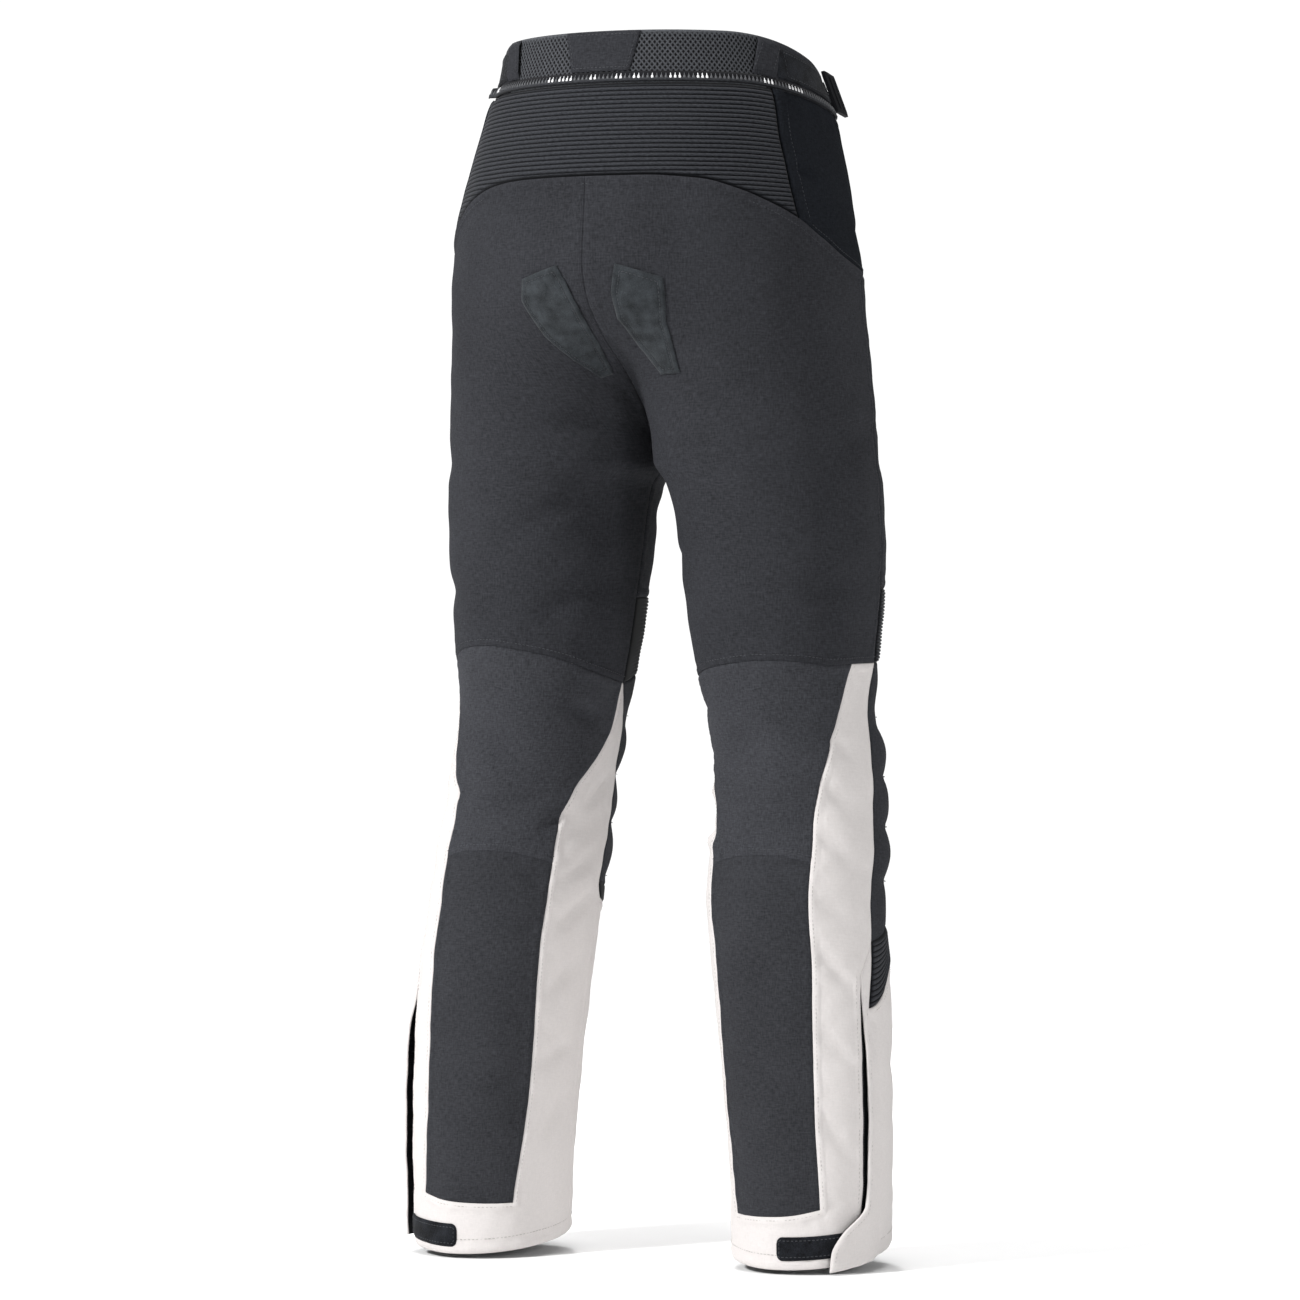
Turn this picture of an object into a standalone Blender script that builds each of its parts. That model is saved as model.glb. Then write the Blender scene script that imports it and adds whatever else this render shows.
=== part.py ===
"""Motorcycle trousers, filled out as if worn, cut and sewn from cloth panels.

Metres, +Z up. The origin is the centre of the waist, the front faces -Y and the wearer's left is +X.
All panels lie on one outer surface, surface(s, drop). s runs from the centre front (0) past the side
(0.5) to the centre back (1); below the fork it runs once round the leg, with 0 and 1 at the inseam.
drop is the distance below the waist. Each panel is a patch of (s, drop) between seam lines.
"""
from math import pi

import bmesh
import bpy
import numpy as np
from mathutils import Vector
from mathutils.bvhtree import BVHTree

# Driving sizes
WALL = 0.0018            # outer fabric with its lining
TRIM_WALL = 0.0012       # tabs, loops, patches
SEAM_GAP = 0.0003        # between two panels at a seam
RIB_GAP = 0.0010         # the same for raised panels, whose own share of the gap is wider
LAYER_GAP = 0.00045      # between a panel and what is sewn on it
WAIST_TOP = -0.036       # drop of the waistband's top edge
WAIST_SEAM = 0.010       # drop of the waistband's lower seam
WAIST_DIP = 0.040        # the waist is this much lower at the front than at the back
HEM = 1.022              # drop of the hem
HEM_RISE = 0.022         # the hem is this much higher over the foot
FORK = 0.332             # drop where the two legs part
LEG_GIRTH = 0.50         # mean girth of a leg, which turns s into metres
REACH = 0.02             # how far a piece looks for the panel that carries it
SIDES = {"left": 1, "right": -1}

# Rings round the body: drop, half width, front y, side y, back y, fullness of the curve
TORSO = [
    (-0.036, 0.1365, -0.110, -0.005, 0.127, 2.05),
    (-0.002, 0.1435, -0.119, -0.008, 0.133, 2.05),
    (0.024, 0.1535, -0.127, -0.010, 0.142, 2.05),
    (0.064, 0.1635, -0.131, -0.008, 0.156, 2.08),
    (0.110, 0.1740, -0.129, -0.002, 0.165, 2.10),
    (0.170, 0.1825, -0.124, 0.000, 0.170, 2.15),
    (0.240, 0.1860, -0.120, -0.006, 0.167, 2.18),
    (0.310, 0.1920, -0.118, -0.010, 0.160, 2.18),
    (0.450, 0.1960, -0.112, -0.012, 0.140, 2.10),
]
# Rings round the leg: drop, x of the inseam, centre y, half width, half depth
LEG = [
    (0.120, 0.0004, -0.006, 0.0928, 0.1220),
    (0.330, 0.0005, -0.011, 0.0965, 0.1160),
    (0.350, 0.0125, -0.012, 0.0922, 0.1140),
    (0.417, 0.0238, -0.014, 0.0870, 0.1075),
    (0.486, 0.0339, -0.014, 0.0798, 0.0970),
    (0.555, 0.0470, -0.014, 0.0718, 0.0860),
    (0.623, 0.0563, -0.008, 0.0722, 0.0830),
    (0.675, 0.0557, 0.004, 0.0755, 0.0840),
    (0.710, 0.0570, 0.013, 0.0755, 0.0835),
    (0.760, 0.0630, 0.017, 0.0755, 0.0835),
    (0.812, 0.0690, 0.019, 0.0745, 0.0830),
    (0.880, 0.0760, 0.020, 0.0720, 0.0820),
    (0.950, 0.0820, 0.021, 0.0690, 0.0800),
    (1.022, 0.0845, 0.022, 0.0670, 0.0785),
]
# Share of the leg ring where the crotch seam curves down and forward: drop, share
FORK_BACK = [(-0.05, 0), (0.165, 0), (0.190, 0.04), (0.220, 0.20), (0.254, 0.52), (0.280, 0.72),
             (0.318, 0.96), (FORK, 1), (1.1, 1)]
FORK_FRONT = [(-0.05, 0), (0.190, 0), (0.230, 0.06), (0.262, 0.24), (0.295, 0.56), (FORK, 1), (1.1, 1)]

# Largest folds, the same on both legs: s and drop of one end, of the other end, half width, depth
FOLDS = [
    (0.98, 0.350, 0.80, 0.420, 0.022, 0.0030),
    (0.72, 0.590, 0.92, 0.606, 0.018, 0.0030),
    (0.60, 0.640, 0.80, 0.648, 0.018, 0.0025),
    (1.00, 0.640, 0.86, 0.662, 0.016, 0.0035),
    (0.06, 0.300, 0.24, 0.250, 0.024, 0.0035),
    (0.05, 0.345, 0.26, 0.330, 0.022, 0.0030),
    (0.30, 0.240, 0.42, 0.200, 0.022, 0.0025),
    (0.66, 0.860, 0.88, 0.830, 0.022, 0.0022),
    (0.12, 0.880, 0.40, 0.905, 0.024, 0.0025),
]

# Seam lines that run down: drop, s
HIP_BACK_EDGE = [(0.010, 0.661), (0.047, 0.662), (0.074, 0.657), (0.097, 0.652), (0.127, 0.641)]
OUTSEAM = [(0.166, 0.470), (0.440, 0.474), (0.506, 0.481)]
OUTER_BACK_EDGE = [(0.507, 0.555), (0.538, 0.576), (0.572, 0.609), (0.606, 0.640), (0.632, 0.653),
                   (0.677, 0.660), (0.741, 0.662), (0.826, 0.671), (0.894, 0.673), (0.972, 0.666)]
OUTER_FRONT_EDGE = [(0.506, 0.481), (0.530, 0.491), (0.573, 0.509), (0.607, 0.516), (0.667, 0.521),
                    (0.710, 0.522), (0.743, 0.531), (0.761, 0.537), (0.802, 0.555)]
INNER_BACK_EDGE = [(0.524, 0.996), (0.560, 0.988), (0.587, 0.960), (0.618, 0.912), (0.644, 0.890),
                   (0.681, 0.882), (0.740, 0.880), (0.800, 0.885), (0.853, 0.889), (0.898, 0.887),
                   (0.980, 0.867)]
INNER_FRONT_EDGE = [(0.524, 1.000), (0.545, 1.020), (0.575, 1.038), (0.615, 1.050), (0.650, 1.036),
                    (0.680, 1.016), (0.698, 1.014), (0.714, 1.030)]
# Seam lines that run round: s, drop
YOKE = [(0.300, 0.172), (0.440, 0.168), (0.529, 0.158), (0.595, 0.141), (0.641, 0.127), (0.698, 0.114),
        (0.751, 0.104), (0.819, 0.095), (0.915, 0.092), (1.000, 0.092)]
KNEE_SEAM = {
    "right": [(0.481, 0.506), (0.555, 0.507), (0.603, 0.508), (0.657, 0.505), (0.726, 0.504),
              (0.810, 0.508), (0.912, 0.516), (1.000, 0.524)],
    "left": [(0.481, 0.506), (0.555, 0.507), (0.603, 0.499), (0.657, 0.493), (0.710, 0.491),
             (0.781, 0.495), (0.851, 0.503), (0.931, 0.516), (1.000, 0.524)],
}
KNEE_FRONT_SEAM = [(0.000, 0.524), (0.100, 0.516), (0.250, 0.508), (0.400, 0.505), (0.481, 0.506)]
KNEE_FOOT = [(0.014, 0.698), (0.100, 0.705), (0.250, 0.717), (0.400, 0.730), (0.500, 0.743), (0.531, 0.745)]
STRETCH_TOP = [(0.000, 0.448), (0.474, 0.440)]
CALF_SEAM = [(0.660, 0.677), (0.717, 0.671), (0.776, 0.6705), (0.830, 0.674), (0.882, 0.681)]
CALF_HEM = [(0.666, 0.972), (0.725, 0.976), (0.791, 0.978), (0.867, 0.980)]
SHIN_SEAM = [(0.030, 0.714), (0.100, 0.722), (0.250, 0.742), (0.400, 0.758), (0.460, 0.772),
             (0.500, 0.790), (0.530, 0.799), (0.555, 0.802)]

# Raised ribs, two rows of points to a rib: count, rise
LUMBAR_RIBS = (20, 0.0022)
STRETCH_RIBS = (10, 0.0018)
SHIN_RIBS = (6, 0.0015)
# Knee pads stitched across the front: drop of the middle, half height, rise
KNEE_PADS = [(0.527, 0.018, 0.0015), (0.583, 0.021, 0.0045), (0.627, 0.020, 0.0045),
             (0.672, 0.021, 0.0045), (0.716, 0.018, 0.0025)]

# Grip patches under the seat, outlines clockwise from the outer top corner: s, drop
GRIP_PATCH = {
    "right": {"outer": [(0.884, 0.179), (0.880, 0.200), (0.879, 0.215), (0.845, 0.258)],
              "inner": [(0.955, 0.167), (0.964, 0.190), (0.962, 0.212), (0.930, 0.236), (0.883, 0.2585)]},
    "left": {"outer": [(0.899, 0.177), (0.890, 0.195), (0.904, 0.224), (0.926, 0.245), (0.949, 0.259)],
             "inner": [(0.963, 0.167), (0.975, 0.180), (0.985, 0.200), (0.989, 0.229), (0.976, 0.255)]},
}

# Lower leg zip. The shin panel covers it with a free edge: drop, s
FLAP_CORNER = 0.773      # drop where its slanted seam ends and its free edge begins
FLAP_EDGE = {
    "right": [(FLAP_CORNER, 0.569), (0.830, 0.569), (0.880, 0.565), (0.950, 0.568),
              (0.975, 0.576), (0.995, 0.628), (1.010, 0.647), (1.026, 0.650)],
    "left": [(FLAP_CORNER, 0.569), (0.830, 0.575), (0.880, 0.577), (0.950, 0.575),
             (0.975, 0.573), (0.995, 0.574), (1.010, 0.576), (1.018, 0.577)],
}
FLAP_LIFT = {"right": 0.0065, "left": 0.0075}   # the free edge stands this far off the leg
FLAP_HINGE = 0.525       # s where the cover starts to lift
FLAP_OPEN_S = 0.575      # s and drop from which it is lifted fully
FLAP_OPEN_DROP = 0.850
COVER_TIP = 0.12         # share of the slanted seam at the cover's tip
# The side panel's own edge behind the zip: drop, s
ZIP_EDGE = {
    "right": [(FLAP_CORNER, 0.5695), (0.800, 0.573), (0.860, 0.575), (0.950, 0.575), (HEM, 0.585)],
    "left": [(FLAP_CORNER, 0.5695), (0.800, 0.580), (0.860, 0.587), (0.930, 0.585), (0.975, 0.590),
             (HEM, 0.600)],
}
GUSSET_FRONT = 0.530     # s of the dark gusset's front edge, under the cover
GUSSET_BACK = 0.602
GUSSET_TOP = 0.790
GUSSET_FOOT = 1.012
GUSSET_SINK = 0.0040     # the gusset lies this far inside the panels
HEM_TAB = {"right": (0.600, 0.753, 0.994, 1.014), "left": (0.588, 0.753, 0.996, 1.016)}

# Waistband trim, each: s of the top edge's middle, s of the lower edge's middle, half width in s
BELT_LOOP = {"right": (0.645, 0.672, 0.028), "left": (0.750, 0.770, 0.026)}
BELT_LOOP_LIFT = 0.0037  # a loop stands off the band, over the strap
BACK_TAB_TOP = 0.078     # half width of the centre back tab in s, at its top and foot
BACK_TAB_FOOT = 0.057
STRAP_DROP = (-0.030, -0.0015)                   # upper and lower edge of the adjuster strap
BUCKLE = (0.405, 0.452)                         # s from and to
BUCKLE_DROP = (-0.033, 0.006)                   # upper and lower edge of the buckle
BUCKLE_BAR = 0.0048      # width of the buckle's bars
BUCKLE_WALL = 0.0030
BUCKLE_TILT = 0.0060     # its front end stands this far off the waist
ANCHOR_FRONT = 0.345     # s where the strap's front half is sewn down
ZIP_TAPE = (0.655, 1.570)                       # s from and to, from the left side round the back
ZIP_TAPE_DROP = (0.0005, 0.0095)
ZIP_TAPE_END_LIFT = 0.0050                      # the tape's left end turns outward
FLY = (-0.012, 0.048, 0.0115, 0.190)            # s from and to, drop from and to
CLOSURE_TAB = (-0.060, 0.052, -0.031, 0.005)    # the same, on the waistband
SNAP_PLACE = (-0.040, -0.013)                   # s and drop of the snap on the closure tab
SNAP_RADIUS = 0.0075
SNAP_HEIGHT = 0.0028

# Looks: base colour, roughness
CLOTH_BLACK = ((0.041, 0.042, 0.048), 0.85)
CLOTH_KNEE = ((0.055, 0.057, 0.064), 0.85)
CLOTH_GREY = ((0.76, 0.72, 0.70), 0.80)
MESH_BLACK = ((0.035, 0.037, 0.042), 0.90)
STRETCH_BLACK = ((0.022, 0.024, 0.028), 0.90)
SUEDE = ((0.062, 0.069, 0.078), 0.95)
HOOK_BLACK = ((0.012, 0.013, 0.016), 0.95)
PLASTIC = ((0.020, 0.021, 0.024), 0.45)
METAL = ((0.18, 0.18, 0.19), 0.35)


def smooth(table, x, column=1):
    """A column of a table as a curve through its rows that never overshoots them."""
    knots = np.array([row[0] for row in table], float)
    values = np.array([row[column] for row in table], float)
    x = np.clip(x, knots[0], knots[-1])
    width = np.diff(knots)
    slope = np.diff(values) / width
    tangent = np.zeros(len(knots))
    total = slope[:-1] + slope[1:]
    same_way = slope[:-1] * slope[1:] > 0
    tangent[1:-1] = np.where(same_way, 2 * slope[:-1] * slope[1:] / np.where(same_way, total, 1), 0)
    tangent[0], tangent[-1] = slope[0], slope[-1]
    i = np.clip(np.searchsorted(knots, x) - 1, 0, len(knots) - 2)
    u = (x - knots[i]) / width[i]
    start = (1 + 2 * u) * (1 - u) ** 2 * values[i] + u * (1 - u) ** 2 * width[i] * tangent[i]
    end = u * u * (3 - 2 * u) * values[i + 1] + u * u * (u - 1) * width[i] * tangent[i + 1]
    return start + end


def ease(low, high, x):
    """0 below low, 1 above high, and a soft step between them."""
    u = np.clip((x - low) / (high - low), 0, 1)
    return u * u * (3 - 2 * u)


def half_surface(s, drop):
    """The wearer's left half of the outer surface, for s from 0 to 1."""
    front = 0.5 + 0.5 * np.sin(2 * pi * s)
    dip = WAIST_DIP * (1 - ease(WAIST_TOP, 0.16, drop)) * (1 - ease(0.2, 0.75, s))
    depth = drop + dip - HEM_RISE * ease(0.85, HEM, drop) * front
    half_width, front_y, side_y, back_y, fullness = (smooth(TORSO, depth, c) for c in range(1, 6))
    power = 2 / fullness
    cosine = np.cos(pi * s)
    reach = np.where(cosine > 0, side_y - front_y, back_y - side_y)
    torso_x = half_width * np.abs(np.sin(pi * s)) ** power
    torso_y = side_y - reach * np.sign(cosine) * np.abs(cosine) ** power
    inseam_x, centre_y, leg_width, leg_depth = (smooth(LEG, depth, c) for c in range(1, 5))
    leg_x = inseam_x + leg_width * (1 - np.cos(2 * pi * s))
    leg_y = centre_y - leg_depth * np.sin(2 * pi * s)
    at_back, at_front = ease(0.72, 0.985, s), 1 - ease(0.015, 0.28, s)
    share = (ease(0.10, 0.45, drop) * (1 - at_back - at_front)
             + smooth(FORK_BACK, drop) * at_back + smooth(FORK_FRONT, drop) * at_front)
    x = torso_x * (1 - share) + leg_x * share
    y = torso_y * (1 - share) + leg_y * share
    return np.stack([x, y, -depth], -1)


def surface(s, drop):
    """The outer surface past s = 0 and 1 too: the other half above the fork, round the leg below it."""
    s, drop = np.broadcast_arrays(np.asarray(s, float), np.asarray(drop, float))
    on_leg = drop > FORK
    folded = np.where(s > 1, 2 - s, np.abs(s))
    points = half_surface(np.where(on_leg, s % 1.0 + (s == 1), folded), drop)
    mirrored = ~on_leg & ((s > 1) | (s < 0))
    points[..., 0] = np.where(mirrored, -points[..., 0], points[..., 0])
    return points


def normals(s, drop, low, high):
    """Outward unit normals, from points a little to each side that stay between low and high."""
    step = 0.0008
    across = surface(np.clip(s + step, low, high), drop) - surface(np.clip(s - step, low, high), drop)
    down = surface(s, drop + step) - surface(s, drop - step)
    normal = np.cross(down, across)
    return normal / np.linalg.norm(normal, axis=-1, keepdims=True)


def fold_depth(s, drop):
    """How far the largest folds sink the surface at each point."""
    depth = np.zeros_like(s)
    for s0, drop0, s1, drop1, half_width, sink in FOLDS:
        start = np.array([s0 * LEG_GIRTH, drop0])
        run = np.array([s1 * LEG_GIRTH, drop1]) - start
        away = np.stack([s * LEG_GIRTH, drop], -1) - start
        along = np.clip(away @ run / (run @ run), 0, 1)
        distance = np.linalg.norm(away - along[..., None] * run, axis=-1)
        taper = np.sin(pi * np.clip(along, 0.04, 0.96))
        depth += sink * taper * np.exp(-(distance / half_width) ** 2)
    return depth


def down_line(table, start, end, count):
    """Points (s, drop) along a seam that runs down, from one drop to another."""
    drop = np.linspace(start, end, count + 1)
    return np.stack([smooth(table, drop), drop], -1)


def round_line(table, start, end, count):
    """Points (s, drop) along a seam that runs round, from one s to another."""
    s = np.linspace(start, end, count + 1)
    return np.stack([s, smooth(table, s)], -1)


def straight(start, end, count):
    """Points (s, drop) on a straight line."""
    return np.linspace(start, end, count + 1)


def join(*lines):
    """Lines laid end to end, each from where the last one ends."""
    return np.concatenate([lines[0]] + [line[1:] for line in lines[1:]])


def patch(left, right, top, bottom):
    """A grid of (s, drop, share of the way down) between four border lines, rows down."""
    u = np.linspace(0, 1, len(left))[:, None, None]
    t = np.linspace(0, 1, len(top))[None, :, None]
    sides = (1 - t) * left[:, None] + t * right[:, None]
    ends = (1 - u) * top[None] + u * bottom[None]
    corners = ((1 - u) * (1 - t) * top[0] + (1 - u) * t * top[-1]
               + u * (1 - t) * bottom[0] + u * t * bottom[-1])
    grid = sides + ends - corners
    return np.concatenate([grid, np.broadcast_to(u, grid.shape[:2] + (1,))], axis=-1)


def strip(s_from, s_to, drop_from, drop_to, columns, rows):
    """A plain four-sided patch with straight borders in s and drop."""
    top = straight((s_from, drop_from), (s_to, drop_from), columns)
    bottom = straight((s_from, drop_to), (s_to, drop_to), columns)
    left = straight((s_from, drop_from), (s_from, drop_to), rows)
    right = straight((s_to, drop_from), (s_to, drop_to), rows)
    return patch(left, right, top, bottom)


def weave(grids, inner_step):
    """Shared points, outer and inner faces and rim chains of patches that meet on common borders."""
    index, points, outer, inner, chains = {}, [], [], [], []
    for grid in grids:
        rows, columns = grid.shape[0] - 1, grid.shape[1] - 1
        ids = np.empty((rows + 1, columns + 1), int)
        for i in range(rows + 1):
            for j in range(columns + 1):
                key = tuple(np.round(grid[i, j, :2], 5))
                if key not in index:
                    index[key] = len(points)
                    points.append(grid[i, j])
                ids[i, j] = index[key]
        for i in range(rows):
            for j in range(columns):
                outer.append((ids[i, j], ids[i + 1, j], ids[i + 1, j + 1], ids[i, j + 1]))
        for i in range(0, rows, inner_step):
            k = min(i + inner_step, rows)
            for j in range(columns):
                inner.append((ids[i, j], ids[i, j + 1], ids[k, j + 1], ids[k, j]))
            chains += [list(ids[i:k + 1, 0]), list(ids[i:k + 1, -1])]
        for j in range(columns):
            chains += [list(ids[0, j:j + 2]), list(ids[-1, j:j + 2])]
    return np.array(points), outer, inner, chains


def count_edges(faces):
    """How many faces use each edge."""
    uses = {}
    for face in faces:
        for a, b in zip(face, face[1:] + face[:1]):
            uses[frozenset((a, b))] = uses.get(frozenset((a, b)), 0) + 1
    return uses


def seam_inset(points, normal, faces, gap):
    """Moves that draw a patch's border in by half the seam gap, within the surface."""
    uses = count_edges(faces)
    inward = {}
    for face in faces:
        middle = points[list(face)].mean(axis=0)
        for a, b in zip(face, face[1:] + face[:1]):
            if uses[frozenset((a, b))] == 1:
                side = np.cross(normal[a] + normal[b], points[b] - points[a])
                side /= np.linalg.norm(side)
                side *= np.sign((middle - points[a]) @ side)
                inward.setdefault(a, []).append(side)
                inward.setdefault(b, []).append(side)
    move = np.zeros_like(points)
    for vertex, sides in inward.items():
        first, last = sides[0], sides[-1]
        move[vertex] = gap / 2 * (first + last) / max(1 + first @ last, 0.3)
    return move


def material(name, look):
    """A plain material of one colour and roughness."""
    colour, roughness = look
    result = bpy.data.materials.new(name)
    result.use_nodes = True
    shader = result.node_tree.nodes["Principled BSDF"]
    shader.inputs["Base Color"].default_value = (*colour, 1)
    shader.inputs["Roughness"].default_value = roughness
    shader.inputs["Metallic"].default_value = 1.0 if look is METAL else 0.0
    return result


def host_tree(hosts, mirror):
    """The panels that carry a piece, as one tree to measure to."""
    vertices, faces = [], []
    for host in hosts:
        mesh = bpy.data.objects[host].data
        faces += [[len(vertices) + v for v in face.vertices] for face in mesh.polygons]
        vertices += [vertex.co * Vector((mirror, 1, 1)) for vertex in mesh.vertices]
    return BVHTree.FromPolygons(vertices, faces)


def height_over(tree, point, out):
    """How far a point stands over the panels of a tree, along out, or nothing where there is none."""
    hit = tree.ray_cast(Vector(point + REACH * out), Vector(-out), 2 * REACH)[0]
    return None if hit is None else (point - np.array(hit)) @ out


def seated(points, normal, faces, tree):
    """The points moved along their normals onto the panels, so that no face between them dips inside."""
    result = points.copy()
    for i, (point, out) in enumerate(zip(points, normal)):
        height = height_over(tree, point, out)
        result[i] -= out * (height or 0)
    for _ in range(4):
        for face in faces:
            corners, outs = result[list(face)], normal[list(face)]
            for a in (0.0, 0.25, 0.5, 0.75, 1.0):
                for b in (0.0, 0.25, 0.5, 0.75, 1.0):
                    weight = np.array([(1 - a) * (1 - b), a * (1 - b), a * b, (1 - a) * b])
                    out = weight @ outs / np.linalg.norm(weight @ outs)
                    height = height_over(tree, weight @ corners, out)
                    if height is not None and height < -0.00005:
                        result[list(face)] -= outs * height
                        corners = result[list(face)]
    return result


def cloth(name, side, grids, look, wall=WALL, lift=0.0, relief=None, inner_step=1, bounds=(0, 1), hosts=(),
          gap=SEAM_GAP):
    """One panel: patches on the surface or on other panels, lifted, raised, and given a wall inward."""
    points, outer, inner, chains = weave(grids, inner_step)
    s, drop, share = points.T
    base = surface(s, drop)
    normal = normals(s, drop, *bounds)
    base += seam_inset(base, normal, outer, gap)
    raise_by = lift(s, drop) if callable(lift) else np.full(len(s), lift)
    if hosts:
        base = seated(base, normal, outer, host_tree(hosts, SIDES.get(side, 1)))
        level = raise_by[:, None]
    else:
        level = (raise_by - fold_depth(s, drop))[:, None]
    rise = relief(s, drop, share)[:, None] if relief else 0.0
    skin = base + normal * (level + rise)
    back = base + normal * (level - wall)
    inner_uses = count_edges(inner)
    faces = [tuple(face) for face in outer]
    count = len(points)
    faces += [tuple(count + v for v in face) for face in inner]
    for chain in chains:
        if inner_uses.get(frozenset((chain[0], chain[-1])), 0) == 1:
            faces.append(tuple(chain) + (count + chain[-1], count + chain[0]))
    mesh = bmesh.new()
    vertices = [mesh.verts.new(point) for point in np.concatenate([skin, back])]
    for face in faces:
        mesh.faces.new([vertices[v] for v in face])
    bmesh.ops.delete(mesh, geom=[v for v in mesh.verts if not v.link_faces], context="VERTS")
    if SIDES.get(side, 1) < 0:
        bmesh.ops.scale(mesh, verts=mesh.verts, vec=(-1, 1, 1))
    bmesh.ops.recalc_face_normals(mesh, faces=mesh.faces)
    bmesh.ops.triangulate(mesh, faces=mesh.faces)
    return add_object(f"{side}_{name}" if side in SIDES else name, mesh, look)


def add_object(name, mesh, look):
    """Put a finished mesh in the scene as a named object with its own material."""
    data = bpy.data.meshes.new(name)
    mesh.to_mesh(data)
    mesh.free()
    data.materials.append(material(name, look))
    data.shade_smooth()
    data.set_sharp_from_angle(angle=0.7)
    item = bpy.data.objects.new(name, data)
    bpy.context.scene.collection.objects.link(item)
    return item


def ribs(count, rise):
    """A relief of even ridges from the top of a patch to its foot."""
    return lambda s, drop, share: rise * (0.5 - 0.5 * np.cos(2 * pi * count * share))


def pad_relief(s, drop, share):
    """Pads across the knee, fading out at the panel's two edges."""
    rise = np.zeros_like(s)
    for middle, half, height in KNEE_PADS:
        near = np.clip(np.abs(drop - middle) / half, 0, 1)
        rise += height * np.cos(pi / 2 * near)
    return rise * ease(0.03, 0.10, s) * (1 - ease(0.45, 0.53, s))


def other_half(line):
    """A line's mirror image across the centre back, run the other way."""
    return line[::-1] * (-1, 1) + (2, 0)


def halved(line):
    """The same line with a point added in the middle of each stretch."""
    result = np.repeat(line, 2, axis=0)[:-1]
    result[1::2] = (line[:-1] + line[1:]) / 2
    return result


def subdivide(line, count):
    """A line's points spread again to another number of stretches."""
    old, new = np.linspace(0, 1, len(line)), np.linspace(0, 1, count + 1)
    return np.stack([np.interp(new, old, line[:, 0]), np.interp(new, old, line[:, 1])], -1)


def at_drop(table, drop):
    """The point (s, drop) of a down line at one drop."""
    return float(smooth(table, drop)), drop


def at_s(table, s):
    """The point (s, drop) of a round line at one s."""
    return s, float(smooth(table, s))


def waist_seam(side):
    """The waistband's lower seam from the centre front to the mesh, with the panels' points."""
    hip_front, hip_back, foot = YOKE[0][0], HIP_BACK_EDGE[0][1], BELT_LOOP[side][1]
    last = 3 if foot - hip_back > 0.05 else 1
    return join(straight((0, WAIST_SEAM), (hip_front, WAIST_SEAM), 5),
                straight((hip_front, WAIST_SEAM), (hip_back, WAIST_SEAM), 7),
                straight((hip_back, WAIST_SEAM), (foot, WAIST_SEAM), last))


def waist_pieces():
    """The waistband: elastic mesh round the back and a plain band to each side of the front."""
    left_top, left_foot, _ = BELT_LOOP["left"]
    right_top, right_foot, _ = BELT_LOOP["right"]
    top = straight((left_top, WAIST_TOP), (2 - right_top, WAIST_TOP), 24)
    bottom = straight((left_foot, WAIST_SEAM), (2 - right_foot, WAIST_SEAM), 24)
    back = patch(straight(top[0], bottom[0], 3), straight(top[-1], bottom[-1], 3), top, bottom)
    cloth("waist_back", None, [back], MESH_BLACK, bounds=(0, 2))
    for side in SIDES:
        bottom = waist_seam(side)
        top = straight((0, WAIST_TOP), (BELT_LOOP[side][0], WAIST_TOP), len(bottom) - 1)
        band = patch(straight(top[0], bottom[0], 3), straight(top[-1], bottom[-1], 3), top, bottom)
        cloth("waist_front", side, [band], CLOTH_BLACK)


def waist_trim():
    """Belt loops, adjuster straps with their buckles, the bare back tab and the zip tape."""
    band = ["waist_back", "left_waist_front", "right_waist_front"]
    for side in SIDES:
        loop_top, loop_foot, half = BELT_LOOP[side]
        rows = straight((loop_top - half, WAIST_TOP + 0.001), (loop_foot - half, ZIP_TAPE_DROP[0] - 0.001), 4)
        wide = (2 * half, 0)
        loop = patch(rows, rows + wide, straight(rows[0], rows[0] + wide, 3),
                     straight(rows[-1], rows[-1] + wide, 3))
        cloth("belt_loop", side, [loop], CLOTH_BLACK, TRIM_WALL, BELT_LOOP_LIFT, hosts=band)
        strap = strip(BUCKLE[1] - 0.004, loop_top - 0.010, *STRAP_DROP, 9, 3)
        cloth("adjuster_strap", side, [strap], HOOK_BLACK, TRIM_WALL, LAYER_GAP + TRIM_WALL, hosts=band)
        anchor = strip(ANCHOR_FRONT, BUCKLE[0] + 0.006, *STRAP_DROP, 4, 3)
        cloth("adjuster_anchor", side, [anchor], CLOTH_BLACK, TRIM_WALL, LAYER_GAP + TRIM_WALL, hosts=band)
        buckle(side, band)
    top = straight((1 - BACK_TAB_TOP, WAIST_TOP + 0.0005), (1 + BACK_TAB_TOP, WAIST_TOP + 0.0005), 8)
    foot_drop = ZIP_TAPE_DROP[0] - 0.001
    foot = straight((1 - BACK_TAB_FOOT, foot_drop), (1 + BACK_TAB_FOOT, foot_drop), 8)
    tab = patch(straight(top[0], foot[0], 4), straight(top[-1], foot[-1], 4), top, foot)
    cloth("back_tab", None, [tab], CLOTH_BLACK, TRIM_WALL, LAYER_GAP + TRIM_WALL, bounds=(0, 2),
          hosts=band[:1])
    tape = strip(*ZIP_TAPE, *ZIP_TAPE_DROP, 40, 1)
    cloth("connection_zip", None, [tape], CLOTH_BLACK, TRIM_WALL, tape_lift, bounds=(0, 2), hosts=band)


def tape_lift(s, drop):
    """The zip tape lies just above the waist seam and its left end turns outward."""
    return LAYER_GAP + TRIM_WALL + ZIP_TAPE_END_LIFT * (1 - ease(ZIP_TAPE[0], ZIP_TAPE[0] + 0.03, s))


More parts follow.
